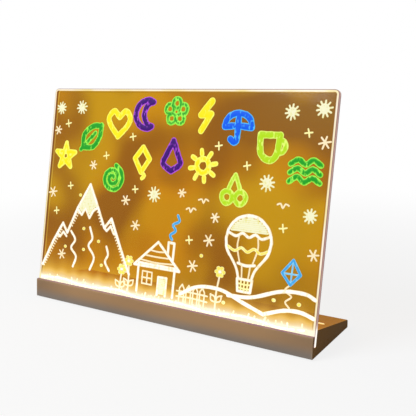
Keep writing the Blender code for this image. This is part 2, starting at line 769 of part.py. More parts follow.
def make_button(base, clear, dark, pale):
    """The mode button, the switch that it presses and the lamp that lights it."""
    button_frame = new_frame("button_axis", (BUTTON_X, BUTTON_Y, 0), base)
    top = roof_height(BUTTON_Y) + BUTTON_PROUD
    flange_top = under_roof(BUTTON_Y) - FIT_GAP
    flange_bottom = flange_top - BUTTON_FLANGE_HEIGHT
    cap = sloped(upright(stadium(BUTTON_LENGTH, BUTTON_WIDTH), flange_top - FIT_GAP, top))
    bevel_edges(cap, face_edges(cap, (0, math.sin(LEAN), math.cos(LEAN))), BUTTON_TOP_RADIUS, 2)
    button = new_object("mode_button", cap, button_frame, clear)
    flange = sloped(
        upright(
            stadium(BUTTON_LENGTH + 2 * BUTTON_FLANGE, BUTTON_WIDTH + 2 * BUTTON_FLANGE),
            flange_bottom,
            flange_top,
        )
    )
    boolean(button, "UNION", helper("join_button_flange", flange, button_frame))
    stem_top = (flange_bottom + flange_top) / 2
    stem = add_cylinder(bmesh.new(), BUTTON_STEM_RADIUS, PLUNGER_TOP + SEAT_GAP, stem_top)
    boolean(button, "UNION", helper("join_button_stem", stem, button_frame))

    body = box((SWITCH_SIZE, SWITCH_SIZE, SWITCH_HEIGHT), (0, 0, PARTS_BOTTOM + SWITCH_HEIGHT / 2))
    upright_edges = [edge for edge in body.edges if edge.verts[0].co.xy == edge.verts[1].co.xy]
    bevel_edges(body, upright_edges, SWITCH_CHAMFER, 1)
    switch = new_object("switch_body", body, button_frame, dark)
    well_floor = SWITCH_TOP - PLUNGER_INSET - BUTTON_TRAVEL - SEAT_GAP
    well = add_cylinder(bmesh.new(), PLUNGER_RADIUS + FIT_GAP, well_floor, SWITCH_TOP + OVERRUN)
    boolean(switch, "DIFFERENCE", helper("cut_switch_well", well, button_frame))
    plunger = add_cylinder(bmesh.new(), PLUNGER_RADIUS, SWITCH_TOP - PLUNGER_INSET, PLUNGER_TOP)
    new_object("switch_plunger", plunger, button_frame, dark)

    lamp = box((INDICATOR_WIDTH, INDICATOR_LENGTH, INDICATOR_HEIGHT), (0, 0, INDICATOR_HEIGHT / 2))
    beside = (-(SWITCH_SIZE + INDICATOR_WIDTH) / 2 - FIT_GAP, 0, PARTS_BOTTOM)
    new_object("indicator_led", lamp, button_frame, pale, beside)


def chip_leg(x, y, side, height):
    """One bent leg: an arm out of the chip's side, and a foot that drops from its end to the board."""
    foot = 2 * CHIP_LEG_THICKNESS
    drop = (height + CHIP_LEG_THICKNESS) / 2
    leg = box((CHIP_LEG_WIDTH, CHIP_LEG_REACH, CHIP_LEG_THICKNESS), (x, y, height / 2))
    end = y + side * (CHIP_LEG_REACH - foot) / 2
    return leg, box((CHIP_LEG_WIDTH, foot, drop), (x, end, drop / 2))


def make_chip(name, base, finish, size, place, pitch, legs_by_side):
    """A surface-mount chip with its legs joined on."""
    width, height = size[1:]
    location = (BOARD_LEFT + place[0], BOARD_BACK - place[1], PARTS_BOTTOM)
    chip = new_object(name, box(size, (0, 0, (height + CHIP_LEG_THICKNESS) / 2)), base, finish, location)
    for side, count in legs_by_side.items():
        for i in range(count):
            x = (i - (count - 1) / 2) * pitch
            for part, shape in zip(("arm", "foot"), chip_leg(x, side * width / 2, side, height)):
                label = f"join_{name}_{part}_{side}_{i}"
                boolean(chip, "UNION", helper(label, shape, base, location))


def make_board_parts(base, dark, tin):
    """The controller, the transistor that drives the strip and the smoothing capacitor."""
    chip_size = (CHIP_LENGTH, CHIP_WIDTH, CHIP_HEIGHT)
    chip_legs = {-1: CHIP_LEGS, 1: CHIP_LEGS}
    make_chip("controller_chip", base, dark, chip_size, CHIP_PLACE, CHIP_LEG_PITCH, chip_legs)
    transistor_size = (TRANSISTOR_LENGTH, TRANSISTOR_WIDTH, TRANSISTOR_HEIGHT)
    pitch = 2 * TRANSISTOR_LEG_PITCH
    make_chip("driver_transistor", base, dark, transistor_size, TRANSISTOR_PLACE, pitch, {-1: 2, 1: 1})

    place = Vector((BOARD_LEFT + CAPACITOR_PLACE[0], BOARD_BACK - CAPACITOR_PLACE[1], PARTS_BOTTOM))
    # The roof is lowest over the capacitor's rear edge
    height = under_roof(place.y + CAPACITOR_RADIUS) - CAPACITOR_HEAD_ROOM - place.z
    profile = [
        (0, 0),
        (CAPACITOR_RADIUS, 0),
        (CAPACITOR_RADIUS, height / 5),
        (CAPACITOR_RADIUS - CAPACITOR_CRIMP, height / 4),
        (CAPACITOR_RADIUS, height / 3),
        (CAPACITOR_RADIUS, height - CAPACITOR_CRIMP),
        (CAPACITOR_RADIUS - CAPACITOR_CRIMP, height),
        (0, height),
    ]
    new_object("board_capacitor", turned(profile, SMALL_ROUND_STEPS), base, tin, place)


def make_connector(base, pale):
    """The two-way socket on the board and the plug in it."""
    place = (SOCKET_X, SOCKET_FRONT, PARTS_BOTTOM)
    middle = SOCKET_HEIGHT / 2
    body = box((SOCKET_WIDTH, SOCKET_DEPTH, SOCKET_HEIGHT), (0, SOCKET_DEPTH / 2, middle))
    socket = new_object("strip_socket", body, base, pale, place)
    width = SOCKET_WIDTH - 2 * SOCKET_WALL
    depth = SOCKET_DEPTH - SOCKET_BACK
    height = SOCKET_HEIGHT - 2 * SOCKET_WALL
    mouth = box((width, depth + OVERRUN, height), (0, (depth - OVERRUN) / 2, middle))
    boolean(socket, "DIFFERENCE", helper("cut_socket_mouth", mouth, base, place))

    length = depth - FIT_GAP + PLUG_OUTSIDE
    size = (width - 2 * FIT_GAP, length, height - 2 * FIT_GAP)
    plug = box(size, (0, length / 2 - PLUG_OUTSIDE, middle))
    new_object("strip_plug", plug, base, pale, place)


def smooth_route(points):
    """Closely spaced points on a smooth curve through a route's own points."""
    ends = [2 * points[0] - points[1], *points, 2 * points[-1] - points[-2]]
    route = []
    for p0, p1, p2, p3 in zip(ends, ends[1:], ends[2:], ends[3:]):
        for step in range(LEAD_SAMPLES):
            t = step / LEAD_SAMPLES
            bend = (2 * p0 - 5 * p1 + 4 * p2 - p3) * t**2 + (3 * p1 - p0 - 3 * p2 + p3) * t**3
            route.append((2 * p1 + (p2 - p0) * t + bend) / 2)
    return [*route, points[-1]]


def lead_route(side):
    """A lead's own points, from its solder pad to the plug. Side is -1 for the inner lead."""
    x = lead_pad_middle() + side * LEAD_PITCH / 2
    pad = slot_point(SLOT_WIDTH - LEAD_SEAT, lead_level())
    wall = slot_point(SLOT_WIDTH + CHANNEL_WALL, lead_level())
    plug_x = SOCKET_X + side * LEAD_PITCH / 2
    plug_y = SOCKET_FRONT - PLUG_OUTSIDE - SEAT_GAP
    # The two leads cross to the plug side by side, in the room between the channel and the plug
    room = plug_y - wall.x
    straight = room * LEAD_STRAIGHT_SHARE
    ease = room * LEAD_EASE_SHARE
    clear = slot_point(SLOT_WIDTH + CHANNEL_WALL + straight, lead_level())
    turn_y = (clear.x + plug_y) / 2 + side * LEAD_PITCH / 2
    return [
        Vector((x, *pad)),
        Vector((x, *wall)),
        Vector((x, *clear)),
        Vector((x - LEAD_BEND / 3, turn_y - ease, LEAD_HEIGHT)),
        Vector((x - LEAD_BEND, turn_y, LEAD_HEIGHT)),
        Vector((plug_x + LEAD_BEND, turn_y, LEAD_HEIGHT)),
        Vector((plug_x + LEAD_BEND / 3, turn_y + ease, LEAD_HEIGHT)),
        Vector((plug_x, plug_y - straight, LEAD_HEIGHT)),
        Vector((plug_x, plug_y, LEAD_HEIGHT)),
    ]


def make_lead(name, base, finish, side):
    """One insulated lead, as a tube along its route."""
    curve = bpy.data.curves.new(name, "CURVE")
    curve.dimensions = "3D"
    curve.bevel_depth = LEAD_RADIUS
    curve.bevel_resolution = 2
    curve.use_fill_caps = True
    curve.materials.append(finish)
    route = smooth_route(lead_route(side))
    spline = curve.splines.new("POLY")
    spline.points.add(len(route) - 1)
    for point, place in zip(spline.points, route):
        point.co = (*place, 1.0)
    lead = bpy.data.objects.new(name, curve)
    lead.parent = base
    bpy.context.scene.collection.objects.link(lead)


def main():
    clear_scene()
    acrylic = material("acrylic", (0.62, 0.38, 0.07), 0.08, alpha=0.55)
    shell = material("base_plastic", (0.33, 0.24, 0.17), 0.55)
    rubber = material("foot_rubber", (0.03, 0.03, 0.03), 0.85)
    steel = material("screw_steel", (0.55, 0.55, 0.56), 0.35, 1.0)
    tin = material("tinned_metal", (0.70, 0.70, 0.70), 0.25, 1.0)
    flex = material("strip_white", (0.80, 0.80, 0.76), 0.45)
    lamp = material("lamp_case", (0.90, 0.82, 0.55), 0.40)
    laminate = material("board_green", (0.03, 0.16, 0.08), 0.40)
    dark = material("moulded_black", (0.02, 0.02, 0.02), 0.50)
    pale = material("moulded_white", (0.78, 0.77, 0.73), 0.45)
    clear = material("button_clear", (0.85, 0.70, 0.42), 0.30)
    red = material("lead_red", (0.45, 0.03, 0.02), 0.55)
    black = material("lead_black", (0.02, 0.02, 0.02), 0.55)

    base = new_frame("base_frame", BASE_FRAME)
    slot = new_frame("slot_frame", SLOT_FRAME, base, -LEAN)

    make_panel(slot, acrylic)
    make_housing(base, slot, shell)
    make_cover(base, shell, steel)
    make_feet(base, rubber)
    make_strip(slot, flex, lamp, dark)
    make_board(base, laminate, steel)
    make_inlet(base, tin, dark)
    make_button(base, clear, dark, pale)
    make_board_parts(base, dark, tin)
    make_connector(base, pale)
    make_lead("lead_positive", base, red, -1)
    make_lead("lead_negative", base, black, 1)


main()
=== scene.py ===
# %% [markdown]
# A lit writing board: a clear acrylic sheet that leans back in the slot of a low wedge base.
# The solids come ready-made as a fixed frame, so this lesson is about looks: the finish of every
# surface, the marker drawing on the sheet, and a plain studio to show them in.
# Everything is in metres, +X runs along the board, +Y points to its back and +Z is up.

# %% Load the frame
import json
import math
import random

import bmesh
import bpy
from mathutils import Matrix, Vector


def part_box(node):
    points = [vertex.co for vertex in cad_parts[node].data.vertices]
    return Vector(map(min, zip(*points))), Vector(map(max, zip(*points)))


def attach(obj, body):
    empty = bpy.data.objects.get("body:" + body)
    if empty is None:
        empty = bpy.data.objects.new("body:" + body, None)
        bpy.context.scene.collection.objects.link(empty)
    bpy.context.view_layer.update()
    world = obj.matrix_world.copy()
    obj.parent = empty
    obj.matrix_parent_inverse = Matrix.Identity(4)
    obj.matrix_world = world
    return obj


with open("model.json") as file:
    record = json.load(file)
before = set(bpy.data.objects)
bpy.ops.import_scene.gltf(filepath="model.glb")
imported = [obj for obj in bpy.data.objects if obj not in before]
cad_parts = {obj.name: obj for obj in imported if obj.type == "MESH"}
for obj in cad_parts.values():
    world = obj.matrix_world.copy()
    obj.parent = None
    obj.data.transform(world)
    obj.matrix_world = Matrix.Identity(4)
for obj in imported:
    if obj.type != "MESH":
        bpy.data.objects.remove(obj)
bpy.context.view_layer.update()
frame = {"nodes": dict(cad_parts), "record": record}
nodes = frame["nodes"]

# %% [markdown]
# The sheet leans back, so places on it are easier to give as "along" and "up the sheet" than as
# world points. The lean is known. Where the front face lies is read from the solid itself, as the
# greatest reach of its corners along the direction that the face looks, so it can't drift apart.

# %% Places on the sheet
MM = 0.001
LEAN = math.radians(12)
UP_SHEET = Vector((0, math.sin(LEAN), math.cos(LEAN)))
OUT_OF_SHEET = Vector((0, -math.cos(LEAN), math.sin(LEAN)))
sheet_corners = [vert.co for vert in nodes["acrylic_panel"].data.vertices]
FRONT_PLANE = max(corner.dot(OUT_OF_SHEET) for corner in sheet_corners)
BACK_PLANE = min(corner.dot(OUT_OF_SHEET) for corner in sheet_corners)
SHEET_TOP = max(corner.dot(UP_SHEET) for corner in sheet_corners)
SHEET_FOOT = min(corner.dot(UP_SHEET) for corner in sheet_corners)
HALF_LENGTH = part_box("acrylic_panel")[1].x

# The lip's height over the table, and how much of the sheet stands in the slot
LIP_TOP = 0.0188
SEATED = 0.0087
SHEET_LIP = SHEET_FOOT + SEATED
print("sheet thickness:", round((FRONT_PLANE - BACK_PLANE) / MM, 2), "mm")
print("free height:", round((SHEET_TOP - SHEET_LIP) / MM, 1), "mm")

# Turns (along, out of the sheet, up the sheet) into world places, with the origin on the front face
SHEET_FRAME = Matrix.Identity(4)
SHEET_FRAME.col[1] = (*OUT_OF_SHEET, 0)
SHEET_FRAME.col[2] = (*UP_SHEET, 0)
SHEET_FRAME.col[3] = (*(OUT_OF_SHEET * FRONT_PLANE + UP_SHEET * SHEET_LIP), 1)

# %% [markdown]
# The camera stands where the photographer stood: to the right of the middle, a little above the
# board, with a slight tilt of the head. A camera in Blender looks along its own -Z, so it is
# turned up by a right angle less its dip, then swung round, and the tilt comes first.

# %% Camera
EYE = Vector((0.33547, -0.47777, 0.22195))
SWING, DIP, TILT = (math.radians(angle) for angle in (32.376, 11.922, 0.913))


def add(name, data):
    """Puts a new object in the scene."""
    made = bpy.data.objects.new(name, data)
    bpy.context.scene.collection.objects.link(made)
    return made


camera = add("camera", bpy.data.cameras.new("camera"))
camera.data.lens = 56.66
camera.data.clip_start = 0.01
turn = Matrix.Rotation(SWING, 4, "Z") @ Matrix.Rotation(math.pi / 2 - DIP, 4, "X")
turn = turn @ Matrix.Rotation(-TILT, 4, "Z")
camera.matrix_world = Matrix.Translation(EYE) @ turn
bpy.context.scene.camera = camera
bpy.context.scene.view_settings.view_transform = "Standard"
print("camera to board:", round(EYE.length, 3), "m")

# %% [markdown]
# A material is a network of nodes, and its sums are hard to read as nodes and links. So one class
# wraps a node's output for use in Python sums, where each operator adds one Math node, and another
# class adds every other node with a single method. Each finish is kept under its name.

# %% Node sums
class Wire:
    """One output of a material's nodes, for use in plain sums."""

    def __init__(self, finish, socket):
        self.finish = finish
        self.socket = socket

    def maths(self, operation, *values):
        return self.finish.node("Math", dict(enumerate(values)), operation=operation)

    def __add__(self, other):
        return self.maths("ADD", self, other)

    def __sub__(self, other):
        return self.maths("SUBTRACT", self, other)

    def __rsub__(self, other):
        return self.maths("SUBTRACT", other, self)

    def __mul__(self, other):
        return self.maths("MULTIPLY", self, other)

    def __truediv__(self, other):
        return self.maths("DIVIDE", self, other)

    __radd__ = __add__
    __rmul__ = __mul__

    def to(self, power):
        return self.maths("POWER", self, power)

    def fading(self, reach):
        """Falls from 1 where this is 0 towards 0, to about a third at reach."""
        return self.maths("EXPONENT", self * (-1 / reach))

    def peak(self, reach):
        """Falls from 1 where this is 0 as a round hill, to about a third at reach."""
        return self.maths("EXPONENT", self * self * (-1 / reach**2))

    def size(self):
        return self.maths("ABSOLUTE", self)

    def wave(self, pitch):
        """Swings between -1 and 1, and is 1 at 0 and every pitch from there."""
        return self.maths("COSINE", self * (math.tau / pitch))

    def least(self, other):
        return self.maths("MINIMUM", self, other)

    def most(self, other):
        return self.maths("MAXIMUM", self, other)

    def between(self, low, high, start=0.0, end=1.0):
        """Goes smoothly from start to end as this goes from low to high."""
        values = {"Value": self, "From Min": low, "From Max": high, "To Min": start, "To Max": end}
        return self.finish.node("MapRange", values, interpolation_type="SMOOTHSTEP")


FINISHES = {}


class Finish:
    """The nodes of a material or of the world, and the one method that adds to them."""

    def __init__(self, name, kind=bpy.data.materials):
        self.name = name
        self.owner = kind.new(name)
        self.owner.use_nodes = True
        self.tree = self.owner.node_tree
        self.tree.nodes.clear()
        self.place = self.node("TexCoord", output="Object")
        self.facing = self.node("TexCoord", output="Normal")

    def node(self, kind, sockets=None, output=0, **settings):
        """Adds a node, whose kind is its name in Blender less the ShaderNode that starts them all."""
        made = self.tree.nodes.new(f"ShaderNode{kind}")
        for name, value in settings.items():
            setattr(made, name, value)
        for name, value in (sockets or {}).items():
            if isinstance(value, Wire):
                self.tree.links.new(value.socket, made.inputs[name])
            else:
                made.inputs[name].default_value = value
        return Wire(self, made.outputs[output])

    def along(self, direction, vector=None):
        """How far a place, or another vector, reaches along a direction."""
        sockets = {0: vector or self.place, 1: tuple(direction)}
        return self.node("VectorMath", sockets, "Value", operation="DOT_PRODUCT")

    def mix(self, share, first, second):
        """A colour between two others."""
        return self.node("Mix", {0: share, 6: first, 7: second}, 2, data_type="RGBA")

    def noise(self, size, stretch=(1, 1, 1), detail=2.0, rough=0.5, turned=0.0):
        """Soft random cloud from 0 to 1, whose lumps are about this many metres across."""
        sockets = {"Vector": self.place, "Scale": stretch, "Rotation": (0, 0, turned)}
        place = self.node("Mapping", sockets, vector_type="TEXTURE")
        sockets = {"Vector": place, "Scale": 1 / size, "Detail": detail, "Roughness": rough}
        return self.node("TexNoise", sockets, "Fac")

    def surface(self, colour, rough, bump=None, **more):
        """A Principled shader. A bump is a height from 0 to 1, its depth in metres and a strength.

        Any further socket is named in lower case, with its words joined by underscores.
        """
        values = {"Base Color": colour, "Roughness": rough}
        if bump:
            sockets = dict(zip(("Height", "Distance", "Strength"), bump))
            values["Normal"] = self.node("Bump", sockets)
        for name, value in more.items():
            values[name.replace("_", " ").title().replace("Ior", "IOR")] = value
        return self.node("BsdfPrincipled", values)

    def dimmed(self, colour, share):
        """A colour at a share of its strength."""
        return self.mix(share, (0, 0, 0, 1), colour)

    def done(self, shader, end="Material"):
        """Sends a shader to the output, and keeps the finish under its name."""
        output = self.tree.nodes.new(f"ShaderNodeOutput{end}")
        self.tree.links.new(shader.socket, output.inputs["Surface"])
        FINISHES[self.name] = self.owner
        return self.owner


def tone(red, green, blue):
    """A colour as it looks on screen, from 0 to 255, in the linear values that shaders use."""
    shares = (red / 255, green / 255, blue / 255)
    linear = [c / 12.92 if c <= 0.04045 else ((c + 0.055) / 1.055) ** 2.4 for c in shares]
    return (*linear, 1.0)


print("middle grey as a shader value:", round(tone(128, 128, 128)[0], 3))

# %% [markdown]
# The studio is a plain pale room. What the camera sees behind the board is white, and so is what
# polished surfaces mirror, but the light that falls on the board is kept lower, or pale surfaces
# would lose all shape. Light Path tells these rays apart. To the camera the floor is mostly plain
# white, with a share of white card that takes the board's shadow. Away from the board the white
# takes over, so that no edge shows where the floor meets the backdrop.

# %% Floor and daylight
FLOOR_HALF = 6.0
FLOOR_DROP = 0.0001
DAYLIGHT = 0.34
WHITE = (1, 1, 1, 1)
CARD_WHITE = (0.86, 0.86, 0.86, 1)
NEAR_WHITE = 0.82
SHADOW_REACH = (0.25, 0.75)


def seen_directly(finish):
    """1 for rays from the camera, and for those that a mirror or glass sends on."""
    seen = finish.node("LightPath", output="Is Camera Ray")
    for name in ("Is Glossy Ray", "Is Transmission Ray"):
        seen = seen.most(finish.node("LightPath", output=name))
    return seen


sky = Finish("daylight", bpy.data.worlds)
dim = sky.node("Background", {"Color": WHITE, "Strength": DAYLIGHT})
full = sky.node("Background", {"Color": WHITE, "Strength": 1.0})
sky_mix = sky.node("MixShader", {0: seen_directly(sky), 1: dim, 2: full})
bpy.context.scene.world = sky.done(sky_mix, "World")

floor_mesh = bmesh.new()
floor_place = Matrix.Translation((0, 0, -FLOOR_DROP))
bmesh.ops.create_grid(floor_mesh, x_segments=1, y_segments=1, size=FLOOR_HALF, matrix=floor_place)
floor = add("floor", bpy.data.meshes.new("floor"))
floor_mesh.to_mesh(floor.data)
floor_mesh.free()

card = Finish("white_card")
matt = card.node("BsdfDiffuse", {"Color": CARD_WHITE})
bright = card.node("Emission", {"Color": WHITE, "Strength": 1.0})
away = card.node("VectorMath", {0: card.place}, "Value", operation="LENGTH")
lifted = seen_directly(card) * away.between(*SHADOW_REACH, NEAR_WHITE, 1.0)
floor_mix = card.node("MixShader", {0: lifted, 1: matt, 2: bright})
floor.data.materials.append(card.done(floor_mix))
print("floor:", 2 * FLOOR_HALF, "m across, daylight", DAYLIGHT)

# %% [markdown]
# Two large soft lamps finish the studio. The key stands to the front and left, so that the right
# end of the base falls into shade as it does in life, and a weak fill keeps that end readable.
# A lamp's power is worked out from its distance, so that white card in front of it would look
# as bright as the share that is asked for.

# %% Lamps
BOARD_MIDDLE = Vector((0, 0, 0.09))


def soft_lamp(name, place, side, share):
    """A square lamp that looks at the board and gives this share of full light there."""
    lamp = bpy.data.lights.new(name, "AREA")
    lamp.size = side
    aim = BOARD_MIDDLE - Vector(place)
    lamp.energy = share * math.pi**2 * aim.length_squared
    made = add(name, lamp)
    made.location = place
    made.rotation_mode = "QUATERNION"
    made.rotation_quaternion = aim.to_track_quat("-Z", "Y")
    return lamp.energy


print("key:", round(soft_lamp("key_lamp", (-0.75, -1.10, 1.15), 0.9, 0.66), 1), "W")
print("fill:", round(soft_lamp("fill_lamp", (1.30, -0.60, 0.80), 0.8, 0.03), 1), "W")

# %% [markdown]
# The base is moulded plastic with a fine matt grain. Three things make it read as plastic and not
# as grey paint: the grain itself, as tiny bumps; slow changes of colour and gloss over a hand's
# width; and edges that handling has rubbed lighter, which also carry a painted highlight. The
# board lights its own base, so the sloping top is amber, painted light from the sheet. The front
# is a warm taupe, with painted shade that greys it towards the table, and both ends are darkened
# with painted shade. The rubbed and highlighted edges are straight lines along the base, each
# known by its depth and its height, so a point's distance from each is a sum.

# %% Rubbed edges, with a painted highlight
LIP_FRONT = (-0.03694, LIP_TOP)
LIP_REAR = (-0.03394, LIP_TOP)
TOP_FRONT = (-0.02861, 0.02226)
TOP_REAR = (0.0385, 0.0080)
LONG_EDGES = (LIP_FRONT, LIP_REAR, TOP_FRONT, TOP_REAR)
EDGE_REACH = 0.0007
END_EDGE_REACH = 0.0006


def long_edges(finish):
    """1 on any of the long edges, fading away from it."""
    deep, high = finish.along((0, 1, 0)), finish.along((0, 0, 1))
    nearest = None
    for depth, height in LONG_EDGES:
        across, above = deep - depth, high - height
        gap = (across * across + above * above).to(0.5)
        nearest = gap if nearest is None else nearest.least(gap)
    return nearest.fading(EDGE_REACH)


print("long edges that hands rub:", len(LONG_EDGES))

# %% [markdown]
# The finish itself is a stack of colours: the front, the top and the ends by which way the surface
# faces, with painted light on the top and painted shade on the ends, then the clouds, then the rub
# with its painted highlight. The sheet's light spills over the top behind the slot and fades to
# the rear, and that is the one part of the finish that glows.

# %% Base plastic
TAUPE = tone(168, 134, 98)
END_TAUPE = tone(150, 122, 94)
# Painted shade: the front turns darker and greyer towards the table
SHADED_LOW_TAUPE = tone(134, 125, 117)
# Painted light: the amber that the sheet's light casts on the sloping top
AMBER_TOP = tone(196, 136, 44)
LIP_MAUVE = tone(156, 118, 134)
# Painted shade: the faces at both ends of the base are darkened
PAINTED_END_SHADE = tone(106, 74, 32)
# Rubbed lighter by handling, and a painted highlight along the edges
RUBBED_AND_HIGHLIGHT = tone(206, 176, 138)
SPILL = tone(170, 108, 14)
END_FADE = (0.095, 0.150)
LOW_FADE = (0.001, 0.013)
LIP_FADE = 0.001
SPILL_REACH = 0.022


def base_plastic():
    made = Finish("base_plastic")
    long = made.along((1, 0, 0))
    high = made.along((0, 0, 1))
    upward = made.along((0, 0, 1), made.facing).between(0.55, 0.9)
    end_shade_mask = made.along((1, 0, 0), made.facing).size().between(0.6, 0.9)
    cloud = made.noise(0.045, (3, 1, 1), 1.0)
    behind_lip = made.along((0, 1, 0)).between(LIP_REAR[0] - LIP_FADE, LIP_REAR[0] + LIP_FADE)
    front = made.mix(long.size().between(*END_FADE), TAUPE, END_TAUPE)
    # Painted shade, darker and greyer towards the table
    front = made.mix(high.between(*LOW_FADE), SHADED_LOW_TAUPE, front)
    # Painted light: upward faces behind the lip take the sheet's amber, and the lip's top is mauve
    colour = made.mix(upward, front, made.mix(behind_lip, LIP_MAUVE, AMBER_TOP))
    # Painted shade on the faces at the ends
    colour = made.mix(end_shade_mask, colour, PAINTED_END_SHADE)
    colour = made.dimmed(colour, cloud.between(0.3, 0.7, 0.88, 1.0))
    ends = (HALF_LENGTH - long.size()).fading(END_EDGE_REACH) * (1 - end_shade_mask)
    # The edges are rubbed lighter and also carry a painted highlight
    rub_and_highlight = long_edges(made).most(ends) * made.noise(0.012, (2, 1, 1), 4.0).between(0.3, 0.7)
    colour = made.mix(rub_and_highlight * 0.55, colour, RUBBED_AND_HIGHLIGHT)
    grain = made.noise(0.00055, detail=1.0)
    rough = 0.64 + (cloud - 0.5) * 0.16 - rub_and_highlight * 0.14 + (grain - 0.5) * 0.10
    spill_gap = made.along((0, 1, 0)) - TOP_FRONT[0]
    spill = upward * behind_lip * (0.42 + spill_gap.most(0.0).fading(SPILL_REACH) * 0.58)
    shader = made.surface(
        colour,
        rough,
        (grain, 0.00009, 0.7),
        emission_color=made.dimmed(SPILL, spill),
        emission_strength=0.6,
        specular_ior_level=0.08,
        # A warm specular tint: a painted warm reflection in the plastic's sheen
        specular_tint=(1.0, 0.78, 0.50, 1),
    )
    return made.done(shader)


print("base plastic nodes:", len(base_plastic().node_tree.nodes))

# %% [markdown]
# Underneath, the cover comes from a coarser tool: its grain is deeper and its colour greyer, and
# every table it has stood on left short scratches this way and that. Feet are rubber, with the
# dull bloom that rubber gets. Both use a fine Noise for the grain. A scratch is the thin crest of
# a stretched Noise, and two of them, turned against each other, keep it from looking like wood.

# %% Cover and feet
def cover_plastic():
    made = Finish("cover_plastic")
    grain = made.noise(0.0009, detail=3.0)
    scratch = made.noise(0.0005, (26, 1, 1), 1.0, turned=0.5).between(0.70, 0.76)
    scratch = scratch.most(made.noise(0.0005, (22, 1, 1), 1.0, turned=-0.9).between(0.71, 0.77))
    cloud = made.noise(0.050, detail=1.0)
    colour = made.mix(cloud, tone(128, 113, 97), tone(140, 124, 106))
    colour = made.mix(grain.between(0.4, 0.7) * 0.25, colour, tone(112, 98, 84))
    colour = made.mix(scratch * 0.6, colour, tone(172, 157, 138))
    rough = 0.58 + (grain - 0.5) * 0.18 + scratch * 0.10
    return made.done(made.surface(colour, rough, (grain, 0.00012, 0.7)))


def foot_rubber():
    made = Finish("foot_rubber")
    bloom = made.noise(0.0012, detail=4.0)
    colour = made.mix(bloom, tone(30, 29, 28), tone(62, 60, 57))
    return made.done(made.surface(colour, 0.72 + bloom * 0.22, (bloom, 0.00005, 0.6)))


print("underside finishes:", cover_plastic().name, foot_rubber().name)

# %% [markdown]
# The screws are zinc-plated steel, and the inlet's shell is tinned sheet, drawn out along its
# length. Both are fully metallic, so the colour is what they mirror, and their fine tool marks, a
# Noise stretched one way, show in the roughness. Tarnish is a soft cloud that dulls some places.

# %% Plated metals
def plated(name, bright_tone, dull_tone, stretch):
    """Metal with fine tool marks along one direction and patches of tarnish."""
    made = Finish(name)
    marks = made.noise(0.00025, stretch, 2.0)
    tarnish = made.noise(0.0025, detail=3.0)
    colour = made.mix(tarnish.between(0.35, 0.75), bright_tone, dull_tone)
    rough = 0.22 + marks * 0.16 + tarnish * 0.12
    return made.done(made.surface(colour, rough, (marks, 0.00001, 0.5), metallic=1.0))


plated("screw_steel", tone(206, 206, 208), tone(168, 165, 158), (1, 1, 6))
plated("tinned_metal", tone(222, 222, 220), tone(190, 187, 178), (1, 12, 1))
plated("contact_gold", tone(232, 190, 96), tone(198, 150, 62), (1, 10, 1))
print("finishes so far:", ", ".join(FINISHES))

# %% [markdown]
# Inside sit the boards and their parts. Little of them ever shows, but each still gets its own
# finish: a coated laminate whose woven core just shows through, a white flexible strip with copper
# under the coating, and moulded parts with a matt grain.

# %% Boards and small parts
def laminate(name, low, high, weave):
    """A coated board, whose woven core shows as a faint grid."""
    made = Finish(name)
    threads = {"Vector": made.place, "Scale": weave}
    warp, weft = (made.node("TexWave", threads, "Fac", bands_direction=axis) for axis in "XY")
    cloth = warp * weft
    tracks = made.noise(0.0030, (5, 1, 1), 0.0).between(0.55, 0.58)
    colour = made.mix(cloth * 0.35 + tracks * 0.45, low, high)
    return made.done(made.surface(colour, 0.28 + cloth * 0.2, (tracks, 0.00003, 0.6)))


def moulded(name, low, high, gloss):
    """Moulded plastic with a matt grain and a few glossier spots."""
    made = Finish(name)
    grain = made.noise(0.0004, detail=3.0)
    colour = made.mix(made.noise(0.003), low, high)
    return made.done(made.surface(colour, gloss + (grain - 0.5) * 0.2, (grain, 0.00003, 0.5)))


laminate("board_green", tone(14, 74, 44), tone(40, 122, 74), 220.0)
laminate("strip_white", tone(222, 221, 212), tone(250, 248, 238), 300.0)
moulded("moulded_black", tone(24, 24, 26), tone(44, 44, 46), 0.5)
moulded("moulded_white", tone(214, 212, 202), tone(238, 236, 226), 0.42)
moulded("lead_red", tone(150, 26, 20), tone(190, 44, 32), 0.5)
moulded("lead_black", tone(22, 22, 24), tone(48, 48, 50), 0.5)
print("finishes so far:", len(FINISHES))

# %% [markdown]
# Two things are lit: the row of lamps under the sheet, and the mode button on the right of the
# sloping top, which a lamp shines through from below. The button is milky, brightest in its middle
# and duller at its rim, so its light follows the distance from its own centre.

# %% Lit button and lamps
def lit_button():
    made = Finish("button_clear")
    low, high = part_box("mode_button")
    middle = (low + high) / 2
    along = (made.along((1, 0, 0)) - middle.x).size()
    rim = along.between((high.x - low.x) * 0.30, (high.x - low.x) * 0.48)
    frost = made.noise(0.0008, detail=3.0)
    shader = made.surface(
        made.mix(frost, tone(240, 220, 170), tone(250, 236, 200)),
        0.28 + frost * 0.15,
        (frost, 0.00002, 0.4),
        emission_color=made.mix(rim, tone(255, 224, 140), tone(236, 178, 84)),
        emission_strength=0.75,
    )
    return made.done(shader)


def lamp_case():
    made = Finish("lamp_case")
    cell = made.noise(0.0010, detail=2.0)
    shader = made.surface(
        made.mix(cell, tone(236, 214, 120), tone(248, 236, 190)),
        0.30 + cell * 0.15,
        emission_color=made.mix(cell, tone(255, 226, 150), tone(255, 244, 208)),
        emission_strength=1.0,
    )
    return made.done(shader)


print("lit finishes:", lit_button().name, lamp_case().name)

# %% [markdown]
# The sheet is the heart of the board. Light enters its foot, runs up inside it and leaves at the
# edges and wherever something touches the face. Along the lip it is a white-hot band that turns
# gold and dies away. Each lamp throws its own fan of light, so the bands are a little taller over
# it: a wave with the lamps' own pitch makes that, and a cloud keeps it from looking ruled.

